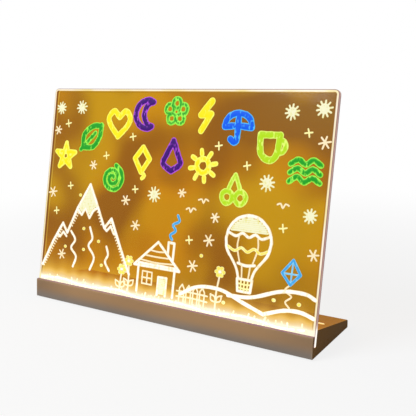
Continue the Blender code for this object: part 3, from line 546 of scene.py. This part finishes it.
# %% Light bands
LAMPS = 18
first_box, last_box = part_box("led_01"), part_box(f"led_{LAMPS}")
FIRST_LAMP = (first_box[0].x + first_box[1].x) / 2
LAMP_PITCH = (last_box[0].x - first_box[0].x) / (LAMPS - 1)
GOLD_REACH = 0.0160
HOT_REACH = 0.0062


def light_bands(finish, height):
    """The gold band and the white-hot band along the lip, each from 0 to 1."""
    beat = (finish.along((1, 0, 0)) - FIRST_LAMP).wave(LAMP_PITCH)
    fan = 0.94 + beat * 0.06 + (finish.noise(0.02, (1, 3, 3), 1.0) - 0.5) * 0.35
    reach = height / fan
    gold_band = (reach.peak(GOLD_REACH) * 1.5).least(1.0)
    hot_band = (reach.peak(HOT_REACH) * 1.6).least(1.0)
    return gold_band, hot_band


print("lamps every", round(LAMP_PITCH / MM, 1), "mm")

# %% [markdown]
# Light gathers at the rim too, so a pale line runs round each face, with a darker one inside it.
# The outermost half millimetre of a face, the small bevels and the edges look mauve, darker to the
# rear, because they send the light elsewhere, but for a thin glint along the middle of each edge.
# Only the foot of an edge, close to the lamps, is white. The lines follow the sheet's outline, so
# they come from the distance to it, which bends round the top corners as the outline does.

# %% Rim of the sheet
SHEET_CORNER = 0.004
OUTER_LINE = (0.0004, 0.0008)
PALE_LINE = (0.0018, 0.0024)
DARK_LINE = (0.0028, 0.0036)


def rim_distance(finish, up):
    """How far a place on the sheet's face is from the sheet's outline, near that outline."""
    beyond_side = (finish.along((1, 0, 0)).size() - (HALF_LENGTH - SHEET_CORNER)).most(0.0)
    beyond_top = (up - (SHEET_TOP - SHEET_CORNER)).most(0.0)
    return SHEET_CORNER - (beyond_side * beyond_side + beyond_top * beyond_top).to(0.5)


def rim_lines(finish, up, hot_band):
    """The mauve, the pale and the dark line along the rim of a face, each from 0 to 1."""
    inward = rim_distance(finish, up)
    outer_line = (1 - inward.between(*OUTER_LINE)) * (1 - hot_band)
    pale_line = 1 - inward.between(*PALE_LINE)
    dark_line = (1 - inward.between(*DARK_LINE)) * (1 - pale_line) * (1 - hot_band)
    return outer_line, pale_line, dark_line


def edge_colour(finish, patchy, hot_band):
    """The colour of the sheet's edges, from the back to the front."""
    depth = (finish.along(OUT_OF_SHEET) - BACK_PLANE) / (FRONT_PLANE - BACK_PLANE)
    glint = (depth - 0.42).peak(0.09) * patchy * 0.45
    colour = finish.mix(depth.between(0.2, 0.8), tone(104, 68, 74), tone(172, 128, 112))
    colour = finish.mix(glint, colour, tone(238, 206, 170))
    return finish.mix(hot_band, colour, tone(255, 250, 240))


print("the rim's lines end", round(DARK_LINE[1] / MM, 1), "mm in from the outline")

# %% [markdown]
# A Transparent shader tints what is behind the sheet, and a Principled shader holds its haze and
# its glow. The share between the two is the Mix factor, worked out from the bands and the rim,
# from clouds of haze and from which way the surface faces. The glow is a stack of colours, and each
# layer covers those before it by its own share: amber, browner clouds of painted shade, painted
# shade over the upper right, the two bands and then the three lines of the rim.

# %% Acrylic sheet
AMBER = (0.46, 0.13, 0.0, 1)
HONEY = (0.42, 0.26, 0.008, 1)
BROWN = (0.17, 0.035, 0.0, 1)
# Painted shade for the upper right of the sheet
UPPER_SHADE = (0.16, 0.085, 0.035, 1)
SHEET_TINT = (0.84, 0.61, 0.11, 1)
UPPER_SHADE_HEIGHT = (0.115, 0.185)


def acrylic():
    made = Finish("acrylic")
    up = made.along(UP_SHEET)
    height = (up - SHEET_LIP).most(0.0)
    facing = made.along(OUT_OF_SHEET, made.facing).size()
    flat = facing.between(0.90, 0.98)
    square = 1 - facing.between(0.20, 0.40)
    gold_band, hot_band = light_bands(made, height)
    outer_line, pale_line, dark_line = rim_lines(made, up, hot_band)

    gloom = made.noise(0.070, detail=1.0)
    warmth = made.noise(0.095, (1.4, 1, 1), 1.0)
    wipe = made.noise(0.008, (6, 1, 1), 3.0)
    patchy = made.noise(0.030, detail=2.0).between(0.40, 0.66)
    # Painted shade over the upper right of the sheet
    upper_shade = made.along((1, 0, 0)).between(0.0, HALF_LENGTH) * height.between(*UPPER_SHADE_HEIGHT)
    # Painted shade: browner clouds that darken the glow
    shade = (gloom.between(0.36, 0.64) * 0.95 + upper_shade * 0.40).least(1.0)

    layers = (
        (shade, BROWN),
        (upper_shade * 0.8, UPPER_SHADE),
        (gold_band, tone(240, 196, 84)),
        (hot_band, tone(255, 250, 226)),
        (dark_line * 0.6, tone(104, 66, 34)),
        (pale_line, made.mix(patchy, tone(255, 248, 230), tone(246, 234, 168))),
        (outer_line, tone(160, 126, 122)),
    )
    body = made.mix(warmth.between(0.38, 0.62), AMBER, HONEY)
    for share, colour in layers:
        body = made.mix(share, body, colour)
    edge = made.mix(square, tone(116, 78, 86), edge_colour(made, patchy, hot_band))

    solid = 0.28 + shade * 0.32 + (wipe - 0.5) * 0.05
    solid = solid.most(gold_band * 0.75).most(hot_band).most(dark_line * 0.5).most(pale_line * 0.95)
    see = made.node("BsdfTransparent", {"Color": SHEET_TINT})
    lit = made.surface(
        made.mix(flat, tone(96, 78, 72), tone(74, 48, 8)),
        0.07 + wipe.between(0.4, 0.9) * 0.03 + (1 - flat) * 0.2,
        emission_color=made.mix(flat, edge, body),
        emission_strength=1.0,
        specular_ior_level=0.2,
    )
    milky = 1 - flat * (1 - solid.least(1.0))
    return made.done(made.node("MixShader", {0: milky, 1: see, 2: lit}))


print("sheet nodes:", len(acrylic().node_tree.nodes))

# %% [markdown]
# Every solid of the frame now gets its finish. The record names a material slot for each solid,
# and the finishes were named after the slots, so each is found by that. Only the cover differs from
# the housing that shares its slot. A solid keeps its mesh, and only its material is swapped.

# %% Give the solids their finishes
for subpart in frame["record"]["subparts"]:
    is_cover = subpart["node"] == "bottom_cover"
    materials = nodes[subpart["node"]].data.materials
    materials.clear()
    materials.append(FINISHES["cover_plastic" if is_cover else subpart["material_slot"]])

# %% [markdown]
# Marker ink glows where it touches the sheet, because it scatters the light that runs inside. It
# is paler at its rim, which is where a stroke stands off the sheet the least. The pen leaves
# streaks, a stretched cloud that roughens the ink, and paler bands along them are painted
# highlights. Each ink has a colour for its core, one for its rim and a strength. The thick doodles
# stand a little prouder than the thin lines.

# %% Ink finishes
MARK_RISE = 0.00045
LINE_RISE = 0.00030
BACK_GLOW = 2.4
THICK_COLOURS = ("yellow", "green", "lime", "purple", "blue")
INK_LOOKS = {
    "yellow": (tone(244, 230, 16), tone(252, 250, 110), 0.85),
    "green": (tone(24, 156, 34), tone(160, 250, 84), 0.85),
    "lime": (tone(176, 220, 26), tone(226, 250, 116), 0.85),
    "purple": (tone(58, 2, 112), tone(186, 84, 232), 0.85),
    "blue": (tone(8, 92, 232), tone(84, 196, 252), 0.85),
    "white": (tone(255, 252, 242), tone(248, 228, 182), 0.84),
    "cream": (tone(246, 244, 206), tone(236, 230, 150), 0.80),
    "pale_yellow": (tone(244, 228, 96), tone(250, 244, 170), 0.85),
    "sky": (tone(70, 166, 232), tone(150, 218, 248), 0.80),
}


def ink_rise(colour):
    """How far ink of this colour stands off the sheet."""
    return MARK_RISE if colour in THICK_COLOURS else LINE_RISE


def ink(colour, core, rim, strength):
    """Ink with a paler rim and painted highlights along its streaks. It shines strongest into the sheet,
    behind it.
    """
    made = Finish(f"ink_{colour}")
    proud = (made.along(OUT_OF_SHEET) - FRONT_PLANE) / ink_rise(colour)
    behind = 1 - made.along(OUT_OF_SHEET, made.facing).between(-0.6, -0.2)
    edge = 1 - proud.between(0.40, 0.85)
    streak_and_highlight = made.noise(0.0022, (1, 1, 2.5), 3.0)
    cloud = made.noise(0.007)
    # Paler at the rim, and painted highlights on the streaks' crests
    pale = (edge * 0.75 + streak_and_highlight.between(0.52, 0.66) * 0.6 + (cloud - 0.5) * 0.5).between(0.1, 0.9)
    shown = made.mix(pale, core, rim)
    near_lamps = (made.along(UP_SHEET) - SHEET_LIP).most(0.0).fading(0.012)
    front_glow = strength / BACK_GLOW * (1 + near_lamps * 0.7)
    shader = made.surface(
        made.dimmed(shown, 0.25),
        0.38 + streak_and_highlight * 0.2,
        (streak_and_highlight, 0.00004, 0.5),
        emission_color=made.dimmed(shown, front_glow.most(behind)),
        emission_strength=BACK_GLOW,
        specular_ior_level=0.12,
    )
    return made.done(shader)


for colour, look in INK_LOOKS.items():
    ink(colour, *look)
print("inks:", ", ".join(INK_LOOKS))

# %% [markdown]
# A stroke is a line that a round-tipped pen leaves through a few places, in millimetres along the
# sheet and up from the lip. No hand is quite steady, so a seeded random shake moves each place a
# little. Some strokes run smoothly through their places, others straight from each to the next.
# Short gaps get few points, and few faces with them. The pen is white where no colour is given.

# %% Strokes
POINT_GAP = 1.5
FEWEST_STEPS = 2
MOST_STEPS = 6
LEG_GAP = 6.0
SHAKE = 0.25
strokes = {colour: [] for colour in INK_LOOKS}
hand = random.Random(7)


def shaken(points, shake):
    """The given places, each as far off as an unsteady hand puts it."""
    places = []
    for point in points:
        slip = Vector((hand.uniform(-shake, shake), hand.uniform(-shake, shake)))
        places.append(Vector(point) + slip)
    return places


def smooth(points):
    """Points on a smooth line through the given ones, more of them where those lie far apart."""
    ends = [2 * points[0] - points[1], *points, 2 * points[-1] - points[-2]]
    line = []
    for p0, p1, p2, p3 in zip(ends, ends[1:], ends[2:], ends[3:]):
        steps = min(max(round((p2 - p1).length / POINT_GAP), FEWEST_STEPS), MOST_STEPS)
        for step in range(steps):
            t = step / steps
            bend = (2 * p0 - 5 * p1 + 4 * p2 - p3) * t**2 + (3 * p1 - p0 - 3 * p2 + p3) * t**3
            line.append((2 * p1 + (p2 - p0) * t + bend) / 2)
    return [*line, points[-1]]


def stroke(points, width, colour="white", shake=SHAKE):
    """Adds one smooth pen line."""
    strokes[colour].append((smooth(shaken(points, shake)), width / 2))


def legs(points, width, colour="white", shake=SHAKE):
    """Adds straight pen lines from each place to the next, so that corners stay sharp."""
    places = shaken(points, shake)
    for start, end in zip(places, places[1:]):
        parts = max(round((end - start).length / LEG_GAP), 1)
        leg = [start.lerp(end, i / parts) for i in range(parts + 1)]
        strokes[colour].append((leg, width / 2))


print("pens ready:", len(strokes))

# %% [markdown]
# A curve with a round bevel gives a tube along each line, whose radius can change from point to
# point, so the hand's pressure and the round ends are only radii. The tube is then pressed flat
# against the sheet: its front half is squashed to a low dome and its back half to a flat face. All
# strokes of one colour are splines of one curve, so each colour is one piece.

# %% Pressed ink
INK_LIFT = 0.00002
BOLD_RADIUS = 1.5
BOLD_CAPS = (84, 60, 35)
FINE_CAPS = (76, 42)
PRESSURE = (0.93, 1.07)


def pen_tube(places, radius):
    """The stroke's points with a radius each: rounded at both ends and uneven between them."""
    first = (places[0] - places[1]).normalized()
    last = (places[-1] - places[-2]).normalized()
    caps = [math.radians(angle) for angle in (BOLD_CAPS if radius > BOLD_RADIUS else FINE_CAPS)]
    tube = [(places[0] + first * radius * math.sin(a), radius * math.cos(a)) for a in caps]
    tube += [(place, radius * hand.uniform(*PRESSURE)) for place in places]
    tube += [(places[-1] + last * radius * math.sin(a), radius * math.cos(a)) for a in reversed(caps)]
    return tube


def press_strokes(colour):
    """Makes the piece for one colour from all its strokes."""
    name = f"ink_{colour}"
    curve = bpy.data.curves.new(name, "CURVE")
    curve.dimensions = "3D"
    curve.bevel_depth = 1.0
    curve.bevel_resolution = 2
    curve.use_fill_caps = True
    for places, radius in strokes[colour]:
        tube = pen_tube(places, radius)
        spline = curve.splines.new("POLY")
        spline.points.add(len(tube) - 1)
        for point, (place, size) in zip(spline.points, tube):
            point.co = (place.x, 0, place.y, 1)
            point.radius = size
    drawn = add(name, curve)
    bpy.context.view_layer.update()
    graph = bpy.context.evaluated_depsgraph_get()
    mesh = bpy.data.meshes.new_from_object(drawn.evaluated_get(graph))
    bpy.data.objects.remove(drawn)
    widest = max(abs(vert.co.y) for vert in mesh.vertices)
    press = bmesh.new()
    press.from_mesh(mesh)
    for vert in press.verts:
        vert.co.y = max(vert.co.y, 0) / widest * ink_rise(colour) / MM
    place = SHEET_FRAME @ Matrix.Translation((0, INK_LIFT, 0)) @ Matrix.Scale(MM, 4)
    bmesh.ops.transform(press, matrix=place, verts=press.verts)
    bmesh.ops.remove_doubles(press, verts=press.verts, dist=MM / 1000)
    bmesh.ops.recalc_face_normals(press, faces=press.faces)
    press.to_mesh(mesh)
    press.free()
    mesh.shade_smooth()
    mesh.materials.append(FINISHES[name])
    piece = add(name, mesh)
    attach(piece, "panel")
    return len(mesh.polygons)


print("ink stands", round(MARK_RISE / MM, 2), "or", round(LINE_RISE / MM, 2), "mm proud")

# %% [markdown]
# Small helpers give places on an arc, rays round a middle, and places moved or mirrored. A circle
# closes by running a little past its start, as a hand does.

# %% Drawing helpers
RAY_TURN = 0.2
DOT_DRAG = 0.3


def arc(middle, radius, start, end, count=14, squash=1.0):
    """Places on part of a circle, with angles in degrees from the right, counter-clockwise."""
    x, y = middle
    places = []
    for i in range(count + 1):
        angle = math.radians(start + (end - start) * i / count)
        places.append((x + radius * math.cos(angle), y + radius * squash * math.sin(angle)))
    return places


def rays(middle, inner, reach, count):
    """Straight lines round a middle, each from inner to reach."""
    lines = []
    for i in range(count):
        angle = math.tau * i / count + RAY_TURN
        heading = Vector((math.cos(angle), math.sin(angle)))
        lines.append([Vector(middle) + heading * inner, Vector(middle) + heading * reach])
    return lines


def burst(middle, reach, count, width, colour="white", inner=0.0):
    """Rays drawn with the pen."""
    for ray in rays(middle, inner, reach, count):
        legs(ray, width, colour)


def dot(x, y, width, colour="white"):
    """A dot is the shortest line: the pen goes down and barely moves."""
    legs([(x - DOT_DRAG, y), (x + DOT_DRAG, y)], width, colour, shake=0.1)


def offset(places, dx, dy):
    """Places moved sideways and up."""
    return [(x + dx, y + dy) for x, y in places]


def mirrored(places):
    """Places on the other side of the middle."""
    return [(-x, y) for x, y in places]


print("a full turn closes at", arc((0, 0), 1, 0, 380)[-1])

# %% [markdown]
# The upper half of the sheet holds two arches of thick, bright doodles, each about three
# centimetres tall, and all of them signs that anyone draws. A doodle is a list of pen lines. Each
# line says how it is drawn, how wide it is as a share of the thick pen, and which places round the
# doodle's middle it visits, in shares of half its height. What has two like halves is given as one
# half, which is then mirrored.

# %% Doodles of lines
TIPS = arc((0, 0), 1, 90, 450, 5)
HEART = [(0, -1), (0.75, -0.25), (1, 0.35), (0.55, 0.85), (0, 0.4)]
DROP = [(0, 1.1), (0.5, 0.1), (0.7, -0.5), (0, -1)]
LEAF = [(-0.8, -0.8), (-0.75, 0.15), (0, 0.75), (0.85, 0.85)]
WAVE = [(-1, 0), (-0.5, 0.3), (0, 0), (0.5, 0.3), (1, 0)]
DOODLES = {
    "star": [(legs, 0.85, [TIPS[i] for i in (0, 2, 4, 1, 3, 0)])],
    "bolt": [(legs, 1.1, [(0.35, 1), (-0.45, 0.05), (0.35, 0.1), (-0.35, -1)])],
    "heart": [(stroke, 1, HEART), (stroke, 1, mirrored(HEART))],
    "drop": [(stroke, 1, DROP), (stroke, 1, mirrored(DROP))],
    "waves": [(stroke, 0.85, offset(WAVE, 0, row)) for row in (-0.55, 0, 0.55)],
    "leaf": [
        (stroke, 1, LEAF),
        (stroke, 1, [(y, x) for x, y in LEAF]),
        (stroke, 0.8, [(-1, -1), (-0.1, -0.1), (0.3, 0.3)]),
    ],
    "kite": [
        (legs, 0.9, [(0, 1), (0.65, 0.2), (0, -0.75), (-0.65, 0.2), (0, 1)]),
        (stroke, 0.7, [(0, -0.75), (0.3, -1), (0.1, -1.2)]),
    ],
}
print("doodles of lines:", ", ".join(DOODLES))

# %% [markdown]
# The other seven are built on arcs: petals round a middle, a disc with rays, a bowl and its handle.

# %% Doodles of arcs
DOODLES["moon"] = [(stroke, 1, arc((0, 0), 1, 60, 300)), (stroke, 1, arc((0.62, 0), 0.88, 100, 260, 10))]
PETALS = arc((0, 0), 0.58, 90, 378, 4)
DOODLES["flower"] = [(stroke, 0.72, arc(petal, 0.34, 0, 380, 10)) for petal in PETALS]
DOODLES["sun"] = [(stroke, 0.9, arc((0, 0), 0.48, 0, 385, 12))]
DOODLES["sun"] += [(legs, 0.75, ray) for ray in rays((0, 0), 0.78, 1.05, 8)]
DOODLES["umbrella"] = [
    (stroke, 1, arc((0, 0.05), 1, 0, 180, 12, 0.85)),
    (stroke, 1, [(-1, 0), (0, 0.1), (1, 0)]),
    (stroke, 1, [(0, 0.8), (0, -0.7), (-0.2, -1), (-0.5, -0.8)]),
]
DOODLES["cup"] = [
    (stroke, 1, [(-0.8, 0.7), (-0.65, -0.5), (0, -0.9), (0.45, -0.5), (0.6, 0.7)]),
    (stroke, 1, [(-0.8, 0.7), (0.6, 0.7)]),
    (stroke, 0.8, arc((0.6, 0), 0.42, 80, -80, 8)),
]
DOODLES["cherries"] = []
for side in (-1, 1):
    DOODLES["cherries"] += [
        (stroke, 0.85, arc((side * 0.5, -0.5), 0.4, 0, 380, 10)),
        (stroke, 0.7, [(side * 0.5, -0.1), (side * 0.2, 0.6), (0, 1)]),
    ]
COILS = []
for i in range(22):
    angle = math.radians(40 + 36 * i)
    reach = 0.14 + 0.86 * i / 21
    COILS.append((reach * math.cos(angle), reach * math.sin(angle)))
DOODLES["spiral"] = [(stroke, 0.85, COILS)]
print("doodles in all:", len(DOODLES))

# %% [markdown]
# Two rows of doodles, each with its colour, stand from left to right. On a level line they would
# look like a list, so each row is hung along an arch that sinks towards its ends.

# %% Arches of doodles
THICK = 6.0
BIG = 12.8
ARCH_TOP = 171
ARCH_GAP = 40
OUTER_ARCH = [
    ("star", "yellow"), ("leaf", "green"), ("heart", "yellow"), ("moon", "purple"),
    ("flower", "green"), ("bolt", "yellow"), ("umbrella", "blue"), ("cup", "lime"),
    ("waves", "green"),
]
INNER_ARCH = [
    ("spiral", "green"), ("kite", "yellow"), ("drop", "purple"), ("sun", "yellow"),
    ("cherries", "lime"),
]


def hang_arch(row, pitch, top, drop):
    """Draws doodles side by side along an arch, whose ends hang lower by drop."""
    half = (len(row) - 1) / 2
    for i, (name, colour) in enumerate(row):
        share = (i - half) / half
        x, y = share * half * pitch, top - drop * share**2
        for draw, width, places in DOODLES[name]:
            draw([(x + BIG * px, y + BIG * py) for px, py in places], THICK * width, colour)


hang_arch(OUTER_ARCH, pitch=32.0, top=ARCH_TOP, drop=46)
hang_arch(INNER_ARCH, pitch=33.0, top=ARCH_TOP - ARCH_GAP, drop=24)
print("thick strokes:", sum(len(strokes[colour]) for colour in THICK_COLOURS))

# %% [markdown]
# The lower half is a picture in pale line. Filled parts are hatched with lines that lie edge to
# edge, as a pen fills them. To find where a level line is inside an outline, every side that
# crosses its height is cut there, and the cuts, sorted, pair up. Slopes carry rows of ticks.

# %% Hatching and ticks
LINE = 2.6
FINE = 1.5
HILL_LINE = 3.4
TICK = 2.6


def hatch(outline, pitch, width):
    """Fills a closed outline with level lines of a cream pen."""
    low = min(y for _, y in outline)
    high = max(y for _, y in outline)
    level = low + pitch / 2
    while level < high:
        cuts = []
        for (x1, y1), (x2, y2) in zip(outline, outline[1:] + outline[:1]):
            if (y1 > level) != (y2 > level):
                cuts.append(x1 + (level - y1) * (x2 - x1) / (y2 - y1))
        cuts.sort()
        for left, right in zip(cuts[::2], cuts[1::2]):
            if right - left > width:
                line = [(left + width / 2, level), (right - width / 2, level)]
                legs(line, width, "cream", shake=0.1)
        level += pitch


def ticks(start, end, count):
    """Short fine lines along one side of a slope."""
    start, end = Vector(start), Vector(end)
    side = (end - start).normalized()
    side = Vector((side.y, -side.x))
    for i in range(count):
        foot = start.lerp(end, (i + 0.5) / count)
        legs([foot, foot + side * TICK], FINE, shake=0.15)


print("pens for the picture:", HILL_LINE, LINE, FINE, "mm wide")

# %% [markdown]
# The mountains are one jagged ridge. Zigzags part the snow from the rock, ticks shade the slopes
# and three wavering lines run down as streams.

# %% Mountains
ridge = [
    (-147, 14), (-134, 40), (-124, 58), (-117, 50), (-106, 74), (-92, 99),
    (-80, 78), (-71, 60), (-63, 69), (-50, 44), (-36, 20),
]
snow = [(-105, 75), (-100, 71), (-96, 77), (-90, 69), (-86, 76), (-81, 79), (-92, 97)]
legs(ridge, LINE * 1.15, shake=0.6)
legs([(-106, 74), (-100, 69), (-96, 76), (-90, 67), (-86, 74), (-80, 78)], LINE)
hatch(snow, pitch=1.5, width=1.7)
legs([(-130, 48), (-126, 45), (-122, 50), (-118, 46)], LINE)
legs([(-71, 60), (-67, 57), (-63, 62), (-59, 56), (-55, 54)], LINE)
slopes = [
    ((-90, 96), (-82, 82), 6), ((-62, 67), (-37, 22), 18), ((-147, 14), (-126, 54), 16),
    ((-114, 57), (-95, 93), 14), ((-79, 76), (-72, 62), 5),
]
for slope in slopes:
    ticks(*slope)
stroke([(-112, 52), (-106, 44), (-110, 36), (-103, 28), (-106, 18)], LINE)
stroke([(-88, 58), (-84, 48), (-88, 40), (-80, 30), (-84, 18)], LINE)
stroke([(-66, 42), (-63, 35), (-66, 28), (-60, 20)], LINE)
print("strokes after the mountains:", len(strokes["white"]))

# %% [markdown]
# The cottage is drawn as a child would: walls, a roof with three courses of tiles, a chimney with
# a curl of smoke, a filled door and a window with a cross. Beside it stands a fence of pickets.

# %% Cottage and fence
RIDGE_X, RIDGE_Y = -6, 54
legs([(-26, 7), (-26, 33), (14, 33), (14, 7)], LINE)
legs([(-31, 31), (RIDGE_X, RIDGE_Y), (19, 31), (-31, 31)], LINE)
for level in (36, 41, 46):
    half = (RIDGE_Y - level) * 1.02
    stroke([(RIDGE_X - half, level), (RIDGE_X, level - 0.8), (RIDGE_X + half, level)], FINE)
legs([(5, 44), (5, 55), (11, 55), (11, 39)], LINE)
stroke([(8, 58), (6, 62), (11, 66), (8, 71), (14, 75), (12, 80)], LINE, "sky")
legs([(-3, 7), (-3, 23), (6, 23), (6, 7)], LINE)
hatch([(-2, 8), (-2, 22), (5, 22), (5, 8)], pitch=1.5, width=1.7)
legs([(-21, 15), (-21, 26), (-10, 26), (-10, 15), (-21, 15)], FINE)
legs([(-15.5, 15), (-15.5, 26)], FINE)
legs([(-21, 20.5), (-10, 20.5)], FINE)

for x in (21, 28, 35, 42):
    picket = [(x, 5), (x, 17), (x + 2.4, 20.5), (x + 4.8, 17), (x + 4.8, 5)]
    legs(picket, FINE, shake=0.15)
for level in (9.5, 14.5):
    stroke([(18, level), (33, level + 0.4), (50, level)], FINE)
print("strokes after the fence:", len(strokes["white"]))

# %% [markdown]
# Three tall flowers differ only in place, height and lean, so one function draws them all.

# %% Flowers
def bloom(x, height, lean):
    """A tall flower: a stem with two leaves, a ring of petals and a dot."""
    head = (x + lean, height)
    stroke([(x, 2), (x + lean * 0.2, height * 0.5), (x + lean * 0.8, height - 5)], FINE * 1.2)
    for side in (-1, 1):
        foot = (x + lean * 0.15, height * 0.3)
        tip = (foot[0] + side * 5.5, foot[1] + 6)
        stroke([foot, (foot[0] + side * 4.6, foot[1] + 1.4), tip], FINE)
        stroke([foot, (foot[0] + side * 1.6, foot[1] + 4.6), tip], FINE)
    for petal in arc(head, 3.4, 0, 300, 5):
        dot(*petal, 3.6, "pale_yellow")
    dot(*head, 3.0)


bloom(-36, 33, -1.5)
bloom(-46, 24, 1.0)
bloom(58, 37, 2.0)
print("dots of petals:", len(strokes["pale_yellow"]))

# %% [markdown]
# The balloon is alike on both sides of a line through its middle, so its ropes are drawn in a loop
# over left and right. Its crown is filled, and two scalloped bands go round below it.

# %% Balloon
AXIS = 84
stroke(arc((AXIS, 66), 21, -38, 218, 26), LINE * 1.1)
hatch(arc((AXIS, 66), 19.6, 22, 158, 18), pitch=1.6, width=1.8)
stroke([(64, 72), (72, 69), (78, 72), (AXIS, 69), (90, 72), (96, 69), (104, 72)], LINE)
band = [(64.5, 60), (72, 57), (78, 60), (AXIS, 57), (90, 60), (96, 57), (103.5, 60)]
stroke(band, LINE, "pale_yellow")
for side in (-1, 1):
    stroke([(AXIS + side * 9, 69), (AXIS + side * 9.5, 60), (AXIS + side * 6, 47)], FINE)
    stroke([(AXIS + side * 16.5, 53), (AXIS + side * 9, 43), (AXIS + side * 6, 34)], LINE)
    stroke([(AXIS + side * 4, 46), (AXIS + side * 3.6, 40), (AXIS + side * 3, 34)], FINE)
stroke([(76, 47), (AXIS, 45.5), (92, 47)], LINE)
legs([(77, 34), (78, 24), (90, 24), (91, 34), (77, 34)], LINE)
for level in (27, 30.5):
    stroke([(78, level), (AXIS, level - 0.4), (90, level)], FINE, "pale_yellow")
for x in (81, AXIS, 87):
    legs([(x, 25), (x, 33)], FINE, "pale_yellow")
print("cream strokes:", len(strokes["cream"]))

# %% [markdown]
# The hills are drawn with a broader pen, as the nearest thing in a picture is. A kite pulls at its
# string above them, and three birds are far away.

# %% Hills, kite and birds
stroke([(22, 12), (40, 21), (62, 22), (84, 15), (104, 9)], HILL_LINE)
stroke([(70, 18.5), (92, 21), (118, 30), (138, 31), (147.5, 28)], HILL_LINE)
stroke([(104, 9), (122, 15), (136, 16), (147.5, 13)], HILL_LINE)
legs([(117, 45), (126, 56), (133, 45), (125, 36), (117, 45)], LINE, "sky")
legs([(126, 56), (125, 36)], FINE, "sky")
legs([(117, 45), (133, 45)], FINE, "sky")
stroke([(125, 36), (121, 31), (127, 27), (122, 22), (126, 18)], FINE)
wings = [(-5, 2.5), (-2, 3.6), (0, 0), (2, 3.6), (5, 2.5)]
for x, y in ((25, 84), (37, 93), (112, 96)):
    stroke(offset(wings, x, y), FINE)
print("line strokes:", len(strokes["white"]))

# %% [markdown]
# Small sparkles, crosses and dots fill the space between, at listed places. The large
# sparkles have a ring across their rays, which makes them look fuller.

# %% Sparkles
LARGE_REACH = 5
SPARKLES = [
    (-139, 172, 5.5), (-112, 173, 6.0), (-141, 150, 4.0), (-141, 88, 5.0), (-91, 118, 4.0), (-48, 88, 4.5),
    (-16, 96, 6.5), (14, 100, 3.6), (50, 82, 4.0), (96, 115, 6.5), (112, 173, 6.0), (142, 150, 5.0),
    (139, 176, 6.5), (136, 92, 5.5), (46, 62, 5.0), (-34, 66, 4.5), (32, 38, 5.0), (142, 62, 4.5),
    (-122, 28, 4.5),
]
for x, y, reach in SPARKLES:
    if reach > LARGE_REACH:
        burst((x, y), reach, 10, 1.7, "cream", inner=0.4)
        stroke(arc((x, y), reach * 0.52, 0, 380, 10), 1.6, "cream")
    else:
        burst((x, y), reach, 6, 1.5, inner=0.4)
CROSSES = [
    (-128, 157), (-118, 96), (-76, 128), (-46, 147), (-38, 99), (47, 143), (76, 128), (128, 157),
    (-134, 70), (26, 60), (114, 80),
]
for x, y in CROSSES:
    burst((x, y), 3.2, 4, 1.4, "pale_yellow")
DOTS = [
    (-118, 36), (-96, 56), (-94, 36), (-76, 46), (-70, 24), (-104, 88), (40, 48), (66, 12), (112, 22),
    (134, 22),
]
for x, y in DOTS:
    dot(x, y, 3.2, "pale_yellow")
print("sparkles, crosses and dots:", len(SPARKLES) + len(CROSSES) + len(DOTS))

# %% [markdown]
# Grass stands along the lip, where the light is strongest and melts it into the bright band. A
# seeded random hand scatters the blades, so every run draws the same ones, and a low swelling line
# joins their feet. With that the drawing is whole, and each colour is pressed on the sheet.

# %% Grass, and the drawing pressed on
FIRST_BLADE = -146
LAST_BLADE = 147
tuft = random.Random(21)
x = FIRST_BLADE
while x < LAST_BLADE:
    reach = tuft.uniform(2.5, 7.5)
    lean = tuft.uniform(-1.6, 1.6)
    blade = [(x, 0.6), (x + lean * 0.3, reach * 0.6), (x + lean, reach)]
    stroke(blade, tuft.uniform(1.2, 2.0), shake=0.1)
    x += tuft.uniform(2.4, 6.0)
turf = [(px, 2.6 + 1.3 * math.sin(px / 11)) for px in range(FIRST_BLADE, LAST_BLADE + 1, 7)]
stroke(turf, 2.6)

for colour in strokes:
    print("ink", colour, "strokes:", len(strokes[colour]), "faces:", press_strokes(colour))

# %% [markdown]
# The power inlet is a tongue in a flat oval shell. Its contacts are rows of thin gold strips let
# into both faces of the tongue, twelve to a side. Each is a small box, bevelled so that its edges
# catch the light, and all of them are one mesh.

# %% Inlet contacts
tongue_low, tongue_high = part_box("inlet_tongue")
CONTACTS = 12
CONTACT_SIZE = Vector((0.00028, 0.0036, 0.00012))
CONTACT_ROW = 0.0062
CONTACT_PITCH = CONTACT_ROW / CONTACTS
CONTACT_INSET = 0.0003
CONTACT_BEVEL = 0.00003
TONGUE_HALF = 0.00035
contacts = bmesh.new()
for face in (-1, 1):
    for i in range(CONTACTS):
        middle = Vector((
            (tongue_low.x + tongue_high.x) / 2 + (i - (CONTACTS - 1) / 2) * CONTACT_PITCH,
            tongue_high.y - CONTACT_SIZE.y / 2 - CONTACT_INSET,
            (tongue_low.z + tongue_high.z) / 2 + face * TONGUE_HALF,
        ))
        place = Matrix.Translation(middle) @ Matrix.Diagonal((*CONTACT_SIZE, 1))
        strip = bmesh.ops.create_cube(contacts, size=1.0, matrix=place)
        edges = list({edge for vert in strip["verts"] for edge in vert.link_edges})
        bmesh.ops.bevel(
            contacts, geom=edges, offset=CONTACT_BEVEL, affect="EDGES", segments=2, profile=0.5,
            material=-1,
        )
contact_mesh = bpy.data.meshes.new("inlet_contacts")
contacts.to_mesh(contact_mesh)
contacts.free()
contact_mesh.materials.append(FINISHES["contact_gold"])
contact_piece = add("inlet_contacts", contact_mesh)
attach(contact_piece, "base")
print("contacts:", 2 * CONTACTS)
